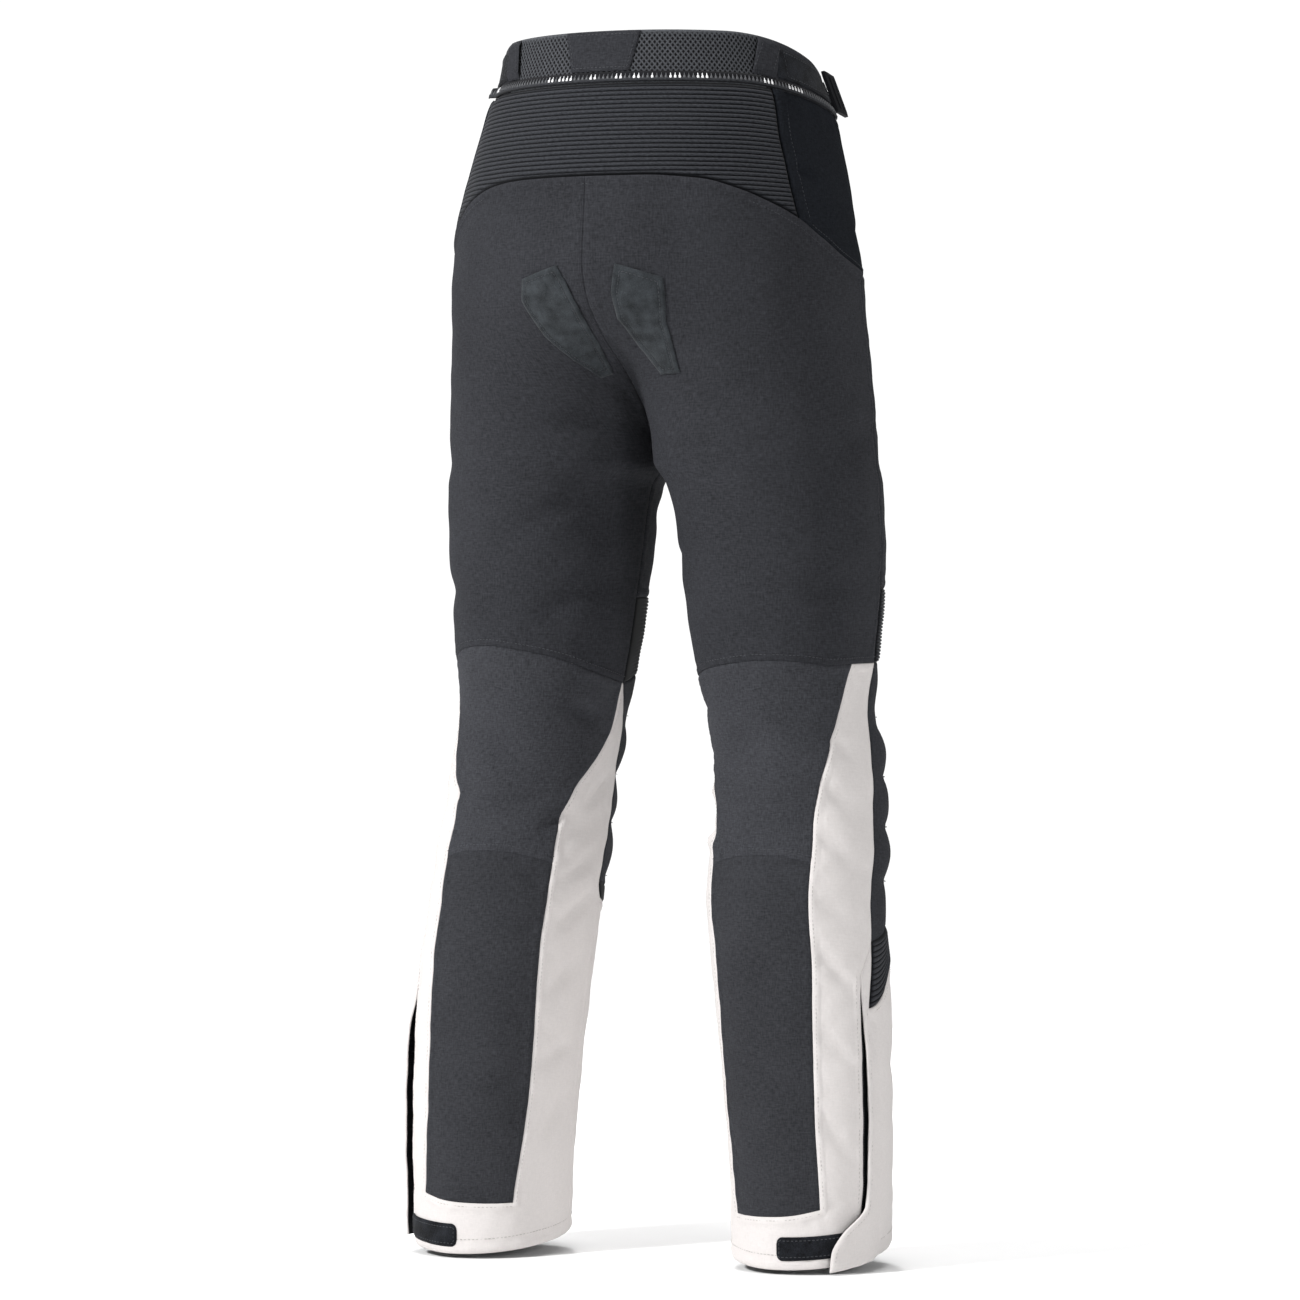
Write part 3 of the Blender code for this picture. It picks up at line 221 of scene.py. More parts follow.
# Waistband trim
BELT_LOOP = {"right": (0.645, 0.672, 0.028), "left": (0.750, 0.770, 0.026)}
BELT_LOOP_LIFT = 0.0037
STRAP_DROP = (-0.030, -0.0015)
BUCKLE = (0.405, 0.452)
ANCHOR_FRONT = 0.345
ZIP_TAPE = (0.655, 1.570)
ZIP_TAPE_DROP = (0.0005, 0.0095)
ZIP_TAPE_END_LIFT = 0.0050
BACK_TAB = [(1 - 0.078, WAIST_TOP + 0.0005), (1 + 0.078, WAIST_TOP + 0.0005),
            (1 - 0.057, ZIP_TAPE_DROP[0] - 0.001), (1 + 0.057, ZIP_TAPE_DROP[0] - 0.001)]
# Where the joining zip's teeth get the pale painted highlight: s from and to
GLINTS = [(0.690, 0.706), (0.887, 0.905), (0.918, 0.945), (0.986, 1.002), (1.034, 1.050), (1.067, 1.088),
          (1.098, 1.112), (1.131, 1.163), (1.182, 1.213), (1.322, 1.345), (1.385, 1.425)]
FLY = (-0.012, 0.048, 0.0115, 0.190)
CLOSURE_TAB = (-0.060, 0.052, -0.031, 0.005)
# Spacer mesh of the waistband: width and height of a diamond, depth of its holes
DIAMOND = (0.0043, 0.0056, 0.0008)
# The roll of a panel's edge into its seam: width, depth
SEAM_ROLL = (0.0022, 0.0009)
# How much narrower every fold is than its row says, and how much stronger the creases are
FOLD_WIDTH = 0.8
CREASE_STRENGTH = 3.2
# The roll along the joining zip's tape: drop from its top, height
TAPE_ROLL = (ZIP_TAPE_DROP[0] + 0.0055, 0.0034)
# Usual spacing of a shell's points; rows beside a panel's border, in metres from it, for the rolled edge
# and the step of the seam allowance; more of them where a seam is felled
PITCH = 0.0044
BESIDE = (0.0, 0.0009, 0.0024, 0.0042, 0.0056, 0.0066, 0.0078)
FELLED = BESIDE + (0.0090, 0.0102, 0.0114, 0.0122, 0.0130, 0.0140)
# Stitches: length, pitch, thickness, how far they stand out; how far plain seams' threads are raised
STITCH_SIZE = (0.0026, 0.0036, 0.00062, 0.00012)
ON_SEAM = 0.0004
HEM_STITCH = HEM - 0.0125
# Teeth of the joining zip and of the leg zips: across, up, out, pitch
JOINING_TEETH = (0.0023, 0.0050, 0.0012, 0.0039)
LEG_TEETH = (0.0013, 0.0030, 0.0012, 0.0022)
# The photograph's view: turn from straight behind, distance, shift to the right, height, focal length
VIEW_TURN = np.radians(23)
VIEW_AWAY, VIEW_SHIFT, VIEW_HEIGHT, VIEW_LENS = 4.5, -0.0088, -0.4947, 141.6
# The floor's level and half width; the world's light on the trousers and as the camera sees it
FLOOR, FLOOR_HALF = -1.0262, 2.6
WORLD_LIGHT, WORLD_SEEN = 0.30, 1.06
# A sheet's least width, and the least share of its flat size that its cut may be
LEAST_WIDTH, LEAST_SHARE = 0.011, 0.301


def smooth(table, x, column=1):
    """A column of a table as a curve through its rows that never overshoots them."""
    knots = np.array([row[0] for row in table], float)
    values = np.array([row[column] for row in table], float)
    x = np.clip(x, knots[0], knots[-1])
    width = np.diff(knots)
    slope = np.diff(values) / width
    tangent = np.zeros(len(knots))
    total = slope[:-1] + slope[1:]
    same_way = slope[:-1] * slope[1:] > 0
    tangent[1:-1] = np.where(same_way, 2 * slope[:-1] * slope[1:] / np.where(same_way, total, 1), 0)
    tangent[0], tangent[-1] = slope[0], slope[-1]
    i = np.clip(np.searchsorted(knots, x) - 1, 0, len(knots) - 2)
    u = (x - knots[i]) / width[i]
    start = (1 + 2 * u) * (1 - u) ** 2 * values[i] + u * (1 - u) ** 2 * width[i] * tangent[i]
    end = u * u * (3 - 2 * u) * values[i + 1] + u * u * (u - 1) * width[i] * tangent[i + 1]
    return start + end


def ease(low, high, x):
    """0 below low, 1 above high, and a soft step between them."""
    u = np.clip((x - low) / (high - low), 0, 1)
    return u * u * (3 - 2 * u)


def half_surface(s, drop):
    """The wearer's left half of the outer surface, for s from 0 to 1."""
    front = 0.5 + 0.5 * np.sin(2 * pi * s)
    dip = WAIST_DIP * (1 - ease(WAIST_TOP, 0.16, drop)) * (1 - ease(0.2, 0.75, s))
    depth = drop + dip - HEM_RISE * ease(0.85, HEM, drop) * front
    half_width, front_y, side_y, back_y, fullness = (smooth(TORSO, depth, c) for c in range(1, 6))
    power = 2 / fullness
    cosine = np.cos(pi * s)
    reach = np.where(cosine > 0, side_y - front_y, back_y - side_y)
    torso_x = half_width * np.abs(np.sin(pi * s)) ** power
    torso_y = side_y - reach * np.sign(cosine) * np.abs(cosine) ** power
    inseam_x, centre_y, leg_width, leg_depth = (smooth(LEG, depth, c) for c in range(1, 5))
    leg_x = inseam_x + leg_width * (1 - np.cos(2 * pi * s))
    leg_y = centre_y - leg_depth * np.sin(2 * pi * s)
    at_back, at_front = ease(0.72, 0.985, s), 1 - ease(0.015, 0.28, s)
    share = (ease(0.10, 0.45, drop) * (1 - at_back - at_front)
             + smooth(FORK_BACK, drop) * at_back + smooth(FORK_FRONT, drop) * at_front)
    x = torso_x * (1 - share) + leg_x * share
    y = torso_y * (1 - share) + leg_y * share
    return np.stack([x, y, -depth], -1)


def surface(s, drop):
    """The outer surface past s = 0 and 1 too: the other half above the fork, round the leg below it."""
    s, drop = np.broadcast_arrays(np.asarray(s, float), np.asarray(drop, float))
    on_leg = drop > FORK
    folded = np.where(s > 1, 2 - s, np.abs(s))
    points = half_surface(np.where(on_leg, s % 1.0 + (s == 1), folded), drop)
    mirrored = ~on_leg & ((s > 1) | (s < 0))
    points[..., 0] = np.where(mirrored, -points[..., 0], points[..., 0])
    return points


def normals(s, drop, low, high):
    """Outward unit normals, from points a little to each side that stay between low and high."""
    step = 0.0008
    across = surface(np.clip(s + step, low, high), drop) - surface(np.clip(s - step, low, high), drop)
    down = surface(s, drop + step) - surface(s, drop - step)
    normal = np.cross(down, across)
    return normal / np.linalg.norm(normal, axis=-1, keepdims=True)


def troughs(table, s, drop):
    """How far a table of folds sinks the surface at each point."""
    depth = np.zeros_like(s)
    for s0, drop0, s1, drop1, half_width, sink in table:
        start = np.array([s0 * LEG_GIRTH, drop0])
        run = np.array([s1 * LEG_GIRTH, drop1]) - start
        away = np.stack([s * LEG_GIRTH, drop], -1) - start
        along = np.clip(away @ run / (run @ run), 0, 1)
        distance = np.linalg.norm(away - along[..., None] * run, axis=-1)
        taper = np.sin(pi * np.clip(along, 0.04, 0.96))
        depth += sink * taper * np.exp(-(distance / (FOLD_WIDTH * half_width)) ** 2)
    return depth


def ground(s, drop, side):
    """Level of the cloth over the plain surface: folds, creases and a faint unevenness."""
    if side not in SIDES:
        return np.where(s > 1, ground(2 - s, drop, "right"), ground(np.abs(s), drop, "left"))
    level = -troughs(FOLDS, s, drop)
    for table in (CREASES["both"], CREASES[side]):
        level -= CREASE_STRENGTH * troughs(table, s, drop)
    turn = {"left": 0.0, "right": 1.7}[side]
    a, b = s * LEG_GIRTH * 2 * pi, drop * 2 * pi
    wave = (np.sin(a / 0.083 + b / 0.141 + turn) * np.sin(b / 0.097 - a / 0.21 + 2 * turn)
            + 0.6 * np.sin(a / 0.047 - b / 0.071 + 3 * turn) * np.sin(b / 0.053 + turn))
    edge = 1 - np.exp(-((s % 1.0) / 0.03) ** 2) - np.exp(-((s % 1.0 - 1.0) / 0.03) ** 2)
    return level + 0.0005 * wave * np.clip(edge, 0, 1) * ease(0.03, 0.12, drop)


def run_down(table, start, end):
    """A curve of points (s, drop) along a seam that runs down."""
    def at(q):
        drop = start + (end - start) * q
        return np.stack([smooth(table, drop), drop], -1)
    return at


def run_round(table, start, end):
    """A curve of points (s, drop) along a seam that runs round."""
    def at(q):
        s = start + (end - start) * q
        return np.stack([s, smooth(table, s)], -1)
    return at


def line(start, end):
    """A straight curve of points (s, drop)."""
    start, end = np.array(start, float), np.array(end, float)
    return lambda q: start + (end - start) * np.asarray(q)[:, None]


def chain(first, second, turn):
    """Two curves end to end, the first up to the share turn of the whole."""
    return lambda q: np.where((q <= turn)[:, None], first(np.clip(q / turn, 0, 1)),
                              second(np.clip((q - turn) / (1 - turn), 0, 1)))


def poly(points):
    """A curve through points at even shares."""
    points = np.array(points, float)
    marks = np.linspace(0, 1, len(points))
    return lambda q: np.stack([np.interp(q, marks, points[:, k]) for k in (0, 1)], -1)


def shifted(curve, by):
    """A curve moved round by s."""
    return lambda q: curve(q) + (by, 0)


def stations(length, pitch=PITCH, turns=(), start=BESIDE, end=BESIDE):
    """Shares from 0 to 1 along a border, close together at its ends and corners."""
    marks = [0.0, *turns, 1.0]
    result = []
    for i, (a, b) in enumerate(zip(marks, marks[1:])):
        span = (b - a) * length
        first = [d for d in (start if i == 0 else BESIDE[:1]) if d < 0.3 * span]
        last = [d for d in (end if i == len(marks) - 2 else BESIDE[:1]) if d < 0.3 * span]
        count = max(int(round((span - first[-1] - last[-1]) / pitch)), 2)
        inner = np.linspace(first[-1], span - last[-1], count + 1)[1:-1]
        places = [*first, *inner, *(span - d for d in reversed(last))]
        result += [a + d / length for d in places[:-1]]
    return np.array(result + [1.0])


def even(length, pitch):
    """Even shares from 0 to 1."""
    return np.linspace(0, 1, max(int(round(length / pitch)), 2) + 1)


def patch(left, right, top, bottom, u, t):
    """A grid of (s, drop, share of the way down) between four curves at the shares u down and t across."""
    sides_left, sides_right, upper, lower = left(u)[:, None], right(u)[:, None], top(t)[None], bottom(t)[None]
    a, b = u[:, None, None], t[None, :, None]
    corners = ((1 - a) * (1 - b) * upper[:, :1] + (1 - a) * b * upper[:, -1:]
               + a * (1 - b) * lower[:, :1] + a * b * lower[:, -1:])
    flat = (1 - b) * sides_left + b * sides_right + (1 - a) * upper + a * lower - corners
    return np.concatenate([flat, np.broadcast_to(a, flat.shape[:2] + (1,))], -1)


def weave(grids):
    """Shared points and faces of patches that meet on common borders."""
    index, points, faces = {}, [], []
    for grid in grids:
        keys = np.round(grid[..., :2] * 20000).astype(int)
        ids = np.empty(grid.shape[:2], int)
        for i in range(grid.shape[0]):
            for j in range(grid.shape[1]):
                key = (keys[i, j, 0], keys[i, j, 1])
                if key not in index:
                    index[key] = len(points)
                    points.append(grid[i, j])
                ids[i, j] = index[key]
        corners = np.stack([ids[:-1, :-1], ids[1:, :-1], ids[1:, 1:], ids[:-1, 1:]], -1).reshape(-1, 4)
        for face in corners.tolist():
            kept = [v for k, v in enumerate(face) if v != face[k - 1]]
            if len(set(kept)) > 2 and len(set(kept)) == len(kept):
                faces.append(kept)
    return np.array(points), faces


def open_edges(faces):
    """Edges that only one face uses, in that face's direction, with the face."""
    uses = {}
    for index, face in enumerate(faces):
        for a, b in zip(face, face[1:] + face[:1]):
            uses.setdefault((min(a, b), max(a, b)), []).append((a, b, index))
    return [found[0] for found in uses.values() if len(found) == 1]


def edge_distance(points, edges):
    """Distance from each (s, drop) point to the panel's outline, in metres along the cloth."""
    flat = points[:, :2] * (LEG_GIRTH, 1)
    starts = flat[[a for a, b, _ in edges]]
    runs = flat[[b for a, b, _ in edges]] - starts
    squares = np.maximum((runs ** 2).sum(-1), 1e-14)
    result = np.empty(len(flat))
    for i in range(0, len(flat), 2000):
        away = flat[i:i + 2000, None] - starts[None]
        along = np.clip((away * runs).sum(-1) / squares, 0, 1)
        result[i:i + 2000] = np.sqrt(((away - along[..., None] * runs) ** 2).sum(-1)).min(-1)
    return result


def seam_inset(base, normal, faces, edges, gap):
    """Moves that draw a panel's border in by half the seam gap, within the surface."""
    inward = {}
    for a, b, index in edges:
        middle = base[faces[index]].mean(axis=0)
        side = np.cross(normal[a] + normal[b], base[b] - base[a])
        side /= max(np.linalg.norm(side), 1e-12)
        side *= np.sign((middle - base[a]) @ side) or 1
        inward.setdefault(a, []).append(side)
        inward.setdefault(b, []).append(side)
    move = np.zeros_like(base)
    for vertex, sides in inward.items():
        first, last = sides[0], sides[-1]
        move[vertex] = gap / 2 * (first + last) / max(1 + first @ last, 0.5)
        if abs(base[vertex][0]) < 0.0004:
            move[vertex][0] = -base[vertex][0]
    return move


def finished(name, vertices, faces, looks, node, slot, uvs=None, face_looks=None):
    """A mesh object from plain arrays, with its look and its place on the body; the solid it stands for is
    hidden.
    """
    data = bpy.data.meshes.new(name)
    data.from_pydata([tuple(v) for v in vertices], [], faces)
    if uvs is not None:
        layer = data.uv_layers.new(name="cloth")
        corner = np.empty(len(data.loops), int)
        data.loops.foreach_get("vertex_index", corner)
        layer.data.foreach_set("uv", uvs[corner].ravel())
    for look in looks:
        data.materials.append(look)
    if face_looks is not None:
        data.polygons.foreach_set("material_index", face_looks)
    data.shade_smooth()
    data.update()
    item = bpy.data.objects.new(name, data)
    bpy.context.scene.collection.objects.link(item)
    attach(item, "root")
    if node:
        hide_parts(node)
    return item


def cloth(node, side, grids, look, slot, wall=WALL, lift=0.0, relief=None, bounds=(0, 1), gap=SEAM_GAP,
          crest_highlight=None, flat=None):
    """One panel as a thin shell: outer skin with folds, relief and rolled edges, and a plain inside."""
    name = f"{side}_{node}" if side else node
    points, faces = weave(grids)
    s, drop, share = points.T
    edges = open_edges(faces)
    base = surface(s, drop)
    normal = normals(s, drop, *bounds)
    away = edge_distance(points, edges)
    base += seam_inset(base, normal, faces, edges, gap)
    height = ground(s, drop, side) + (lift(s, drop) if callable(lift) else lift)
    rise = relief(s, drop, share, away) if relief else 0.0
    edge_roll = SEAM_ROLL[1] * (1 - ease(0, SEAM_ROLL[0], away)) ** 1.5
    skin = base + normal * (height + rise - edge_roll)[:, None]
    back = base + normal * (height - wall)[:, None]
    middle = np.abs(base[:, 0]) < 1e-9
    skin[middle, 0] = back[middle, 0] = 0.0
    count = len(points)
    all_faces = (faces + [[count + v for v in reversed(face)] for face in faces]
                 + [[b, a, count + a, count + b] for a, b, _ in edges])
    face_looks = np.array([0] * len(faces) + [1] * len(faces) + [0] * len(edges), int)
    vertices = np.concatenate([skin, back])
    if side == "right":
        vertices[:, 0] *= -1
        all_faces = [list(reversed(face)) for face in all_faces]
    uv = np.stack([s * LEG_GIRTH, -drop], -1)
    looks = [look, LINING if wall == WALL else look]
    item = finished(f"{name}_cloth", vertices, all_faces, looks, name, slot, np.concatenate([uv, uv]),
                    face_looks)
    # The crest mask is stored as an attribute; ribbed materials paint shade in the hollows and a highlight on
    # the crests by it.
    if crest_highlight:
        values = item.data.attributes.new("crest_highlight", "FLOAT", "POINT")
        values.data.foreach_set("value", np.concatenate([crest_highlight(s, drop, share, away), np.zeros(count)]))
    crossed = [np.cross(skin[face[2]] - skin[face[0]], skin[face[-1]] - skin[face[1]]) for face in faces]
    area = 0.5 * np.linalg.norm(crossed, axis=1).sum()
    wide, long = flat or extent(grids, skin)
    if wide * long < area:
        long = area / wide * 1.0005
    area = max(area, LEAST_SHARE * wide * long)


def extent(grids, skin):
    """Width and length of a panel laid flat, from its widest row and longest column."""
    places = [surface(grid[..., 0], grid[..., 1]) for grid in grids]
    wide, long = (max(np.linalg.norm(np.diff(place, axis=k), axis=-1).sum(k).max() for place in places)
                  for k in (1, 0))
    return float(max(wide, LEAST_WIDTH)), float(max(long, np.ptp(skin[:, 2]), LEAST_WIDTH))


def at_s(table, s):
    """The point (s, drop) of a round line at one s."""
    return s, float(smooth(table, s))


def at_drop(table, drop):
    """The point (s, drop) of a down line at one drop."""
    return float(smooth(table, drop)), drop


def builder(tree):
    """Two makers for a node tree: one sets or links a node's inputs, the other adds a node."""
    def fill(node, inputs):
        for key, value in inputs.items():
            if isinstance(value, bpy.types.NodeSocket):
                tree.links.new(value, node.inputs[key])
            else:
                node.inputs[key].default_value = value

    def add(kind, inputs=(), out=0, **settings):
        node = tree.nodes.new("ShaderNode" + kind)
        for key, value in settings.items():
            setattr(node, key, value)
        fill(node, dict(inputs))
        return node.outputs[out]
    return fill, add


def material(name):
    """A new material, its maker of nodes, and a function that dresses its shader."""
    look = bpy.data.materials.new(name)
    look.use_nodes = True
    fill, add = builder(look.node_tree)

    def dress(inputs, height=None, strength=0.0, distance=0.0):
        if height is not None:
            inputs["Normal"] = add("Bump", {"Height": height, "Strength": strength, "Distance": distance})
        fill(look.node_tree.nodes["Principled BSDF"], inputs)
        return look
    return add, dress


def span(add, value, start, end, low=0.0, high=1.0):
    """A value spread from one range to another."""
    return add("MapRange", {"Value": value, "From Min": start, "From Max": end, "To Min": low, "To Max": high})


def blend(add, factor, low, high):
    """A colour between two, by a factor."""
    return add("Mix", {"Factor": factor, 6: low, 7: high}, 2, data_type="RGBA")


def added(add, first, second):
    """The sum of two values."""
    return add("Math", {0: first, 1: second}, operation="ADD")


def noise(add, place, scale, detail, roughness=0.5):
    """Soft noise at a place."""
    return add("TexNoise", {"Vector": place, "Scale": scale, "Detail": detail, "Roughness": roughness})


def threads(add, place, across, along):
    """Noise drawn out along one thread direction, in cycles to the metre."""
    return noise(add, add("Mapping", {"Vector": place, "Scale": (across, along, 1.0)}), 1.0, 2.0, 0.6)


def shade(values, factor):
    """A colour made lighter or darker."""
    return tuple(min(v * factor, 1.0) for v in values) + (1.0,)


def woven(name, colour, contrast=0.50, roughness=0.88, sheen=0.06, relief=0.6, pitch=0.0011, gloss=0.12):
    """Plain woven cloth: crossed threads, a slight heather, a faint larger mottle and a soft sheen."""
    add, dress = material(name)
    uv, body = add("TexCoord", out="UV"), add("TexCoord", out="Object")
    both = added(add, threads(add, uv, 760, 190), threads(add, uv, 190, 760))
    mottle = noise(add, body, 14.0, 4.0, 0.6)
    total = add("Math", {0: mottle, 1: 0.45, 2: both}, operation="MULTIPLY_ADD")
    heather = blend(add, span(add, total, 0.85, 1.60), shade(colour, 1 - contrast), shade(colour, 1 + contrast))
    cross = [add("TexWave", {"Vector": uv, "Scale": 0.314 / pitch}, -1, wave_type="BANDS", bands_direction=axis)
             for axis in "XY"]
    return dress({"Base Color": heather, "Roughness": roughness, "Sheen Weight": sheen, "Sheen Roughness": 0.6,
                  "Sheen Tint": shade(colour, 1.6 / max(*colour, 0.1)), "Specular IOR Level": gloss},
                 added(add, added(add, *cross), both), relief, 0.0004)


def ribbed(name, colour, crest_highlight):
    """Ribs or strands: painted shade darkens the grooves and a painted grey highlight blooms where the crest
    attribute is high.
    """
    add, dress = material(name)
    rib = add("Attribute", out="Fac", attribute_name="crest_highlight")
    fuzz = threads(add, add("TexCoord", out="UV"), 300, 1600)
    bloom = span(add, add("Math", {0: fuzz, 1: rib}, operation="MULTIPLY"), 0.14, 0.58)
    return dress({"Base Color": blend(add, bloom, (*colour, 1), (*crest_highlight, 1)), "Roughness": 0.85,
                  "Sheen Weight": 0.06, "Specular IOR Level": 0.12}, fuzz, 0.4, 0.0003)


def napped(name, colour, scale, contrast, sheen, strength, roughness=0.95):
    """Suede, fleece-like loops or hooks: a close irregular nap."""
    add, dress = material(name)
    body = add("TexCoord", out="Object")
    nap = noise(add, body, scale, 5.0, 0.7)
    patchy = span(add, added(add, nap, noise(add, body, 90.0, 3.0)), 0.7, 1.3)
    return dress({"Base Color": blend(add, patchy, shade(colour, 1 - contrast), shade(colour, 1 + contrast)),
                  "Roughness": roughness, "Sheen Weight": sheen, "Specular IOR Level": 0.1},
                 nap, strength, 0.0006)


def hard(name, colour, roughness, metal=0.0, gloss=0.5):
    """Moulded plastic or metal with fine scuffs."""
    add, dress = material(name)
    scuffs = noise(add, add("TexCoord", out="Object"), 700.0, 4.0)
    return dress({"Roughness": span(add, scuffs, 0.0, 1.0, roughness - 0.075, roughness + 0.075),
                  "Base Color": (*colour, 1), "Metallic": metal, "Specular IOR Level": gloss},
                 scuffs, 0.12, 0.0002)


BLACK = woven("black_cloth", (0.0242, 0.0250, 0.0290), sheen=0.04)
# A darker copy of the black cloth: painted shade on the sides of the hips.
SHADED_HIP = woven("hip_cloth_painted_shade", (0.0098, 0.0112, 0.0142), sheen=0.02, gloss=0.05)
KNEE = woven("knee_cloth", (0.0332, 0.0342, 0.0392))
CALF = woven("calf_cloth", (0.0265, 0.0273, 0.0312))
GREY = woven("grey_cloth", (0.600, 0.571, 0.560), contrast=0.05, roughness=0.75, sheen=0.03, relief=0.22)
LINING = woven("lining", (0.016, 0.0165, 0.019), contrast=0.2, sheen=0.02, pitch=0.002)
# Mesh and ribs: the first colour is painted shade in the holes and grooves, the second a painted highlight on
# strands and crests.
MESH = ribbed("mesh_elastic", (0.0012, 0.0014, 0.002), (0.070, 0.074, 0.082))
RIBS = ribbed("rib_stretch", (0.0015, 0.0019, 0.0030), (0.0345, 0.0365, 0.0425))
SUEDE = napped("suede", (0.0265, 0.0300, 0.0335), 1100.0, 0.6, 0.06, 0.9)
HOOKS = napped("hook_tape", (0.0090, 0.0100, 0.0125), 900.0, 0.95, 0.05, 1.0)
# Zip tape: dark, with a painted grey highlight on its roll.
TAPE = ribbed("zip_tape", (0.006, 0.0065, 0.008), (0.040, 0.042, 0.047))
# A darker copy of the black cloth: painted shade for the gusset in the slit under the zip cover.
SHADED_GUSSET_CLOTH = woven("gusset_cloth_painted_shade", (0.010, 0.011, 0.013), contrast=0.4, pitch=0.0008)
PLASTIC = hard("plastic", (0.004, 0.0045, 0.006), 0.60, gloss=0.15)
METAL = hard("metal", (0.10, 0.10, 0.11), 0.35, 1.0)
COIL = hard("zip_coil", (0.060, 0.062, 0.068), 0.5)
# Pale colour for the clustered joining-zip teeth: a painted highlight where they glint.
GLINT = hard("zip_glint", (0.72, 0.72, 0.73), 0.35)
THREAD = napped("thread", (0.050, 0.052, 0.058), 2500.0, 0.3, 0.05, 0.3, 0.7)
PALE_THREAD = napped("pale_thread", (0.40, 0.383, 0.372), 2500.0, 0.1, 0.05, 0.3, 0.7)


def rib_wave(phase):
    """A rounded rib: broad on top with a tight groove."""
    return np.sqrt(np.abs(np.sin(pi * phase)))


def band(away, width, rise):
    """A flat raised band along the panel's edge, such as a turned seam allowance."""
    return rise * (1 - ease(width - 0.0012, width + 0.0012, away))


def puckers(s, drop, away):
    """Small soft gathers that the stitching draws into the cloth beside a seam."""
    a, b = s * LEG_GIRTH, drop
    wave = np.sin(a / 0.0031 + 3 * np.sin(b / 0.021)) * np.sin(b / 0.0034 + 2.5 * np.sin(a / 0.026))
    return 0.00055 * wave * np.exp(-((away - 0.010) / 0.008) ** 2)


def plain(s, drop, share, away):
    """The panel swells slightly beside its seams, where the allowance lies under it."""
    return band(away, 0.0065, 0.0006) + puckers(s, drop, away)


def lumbar_relief(s, drop, share, away):
    """Even ribs that follow the waist seam and are cut off by the yoke."""
    rise = LUMBAR_RISE * rib_wave((drop - WAIST_SEAM) / LUMBAR_PITCH)
    return rise * ease(0.0005, 0.0035, away) * (0.5 + 0.5 * ease(0.002, 0.006, drop - WAIST_SEAM))


def lumbar_crest(s, drop, share, away):
    """Where the back's ribs stand out, for the grey highlight painted on them."""
    return (rib_wave((drop - WAIST_SEAM) / LUMBAR_PITCH) * ease(0.0005, 0.0040, away)
            * ease(0.0, 0.0022, drop - WAIST_SEAM))


def ribs_between(count, rise):
    """Even ribs from a patch's top to its foot, dying out at its edges and towards the inseam."""
    return lambda s, drop, share, away: (rise * rib_wave(share * count) * ease(0.0002, 0.0030, away)
                                         * ease(0.02, 0.09, s))


def knee_relief(s, drop, share, away):
    """Pads across the knee with stitched channels between them."""
    rise = np.zeros_like(s)
    for middle, half, height in KNEE_PADS:
        near = np.clip(np.abs(drop - middle) / half, 0, 1)
        rise += height * np.cos(pi / 2 * near) ** 0.8
    return rise * ease(0.03, 0.10, s) * (1 - ease(0.45, 0.53, s))


def mesh_relief(s, drop, share, away):
    """Diamond holes of the spacer mesh, sunk between crossing strands."""
    wide, high, depth = DIAMOND
    a = pi * (s * LEG_GIRTH * 0.84 / wide + drop / high)
    b = pi * (s * LEG_GIRTH * 0.84 / wide - drop / high)
    strand = np.maximum(np.abs(np.cos(a)), np.abs(np.cos(b))) ** 3
    return (strand - 1) * depth * ease(0.001, 0.004, away)


def mesh_crest(s, drop, share, away):
    """1 on the mesh's strands, for their painted highlight, and 0 in its holes, for their painted shade."""
    return 1 + mesh_relief(s, drop, share, away) / DIAMOND[2]


def tape_crest(s, drop, share, away):
    """Where the roll under the joining zip's teeth stands out: its height and its painted highlight."""
    return 0.9 * rib_wave(np.clip((drop - TAPE_ROLL[0]) / TAPE_ROLL[1], 0, 1))


def tape_relief(s, drop, share, away):
    """The tape's lower half is turned over into a soft roll, like one more rib."""
    return 0.0006 / 0.9 * tape_crest(s, drop, share, away)


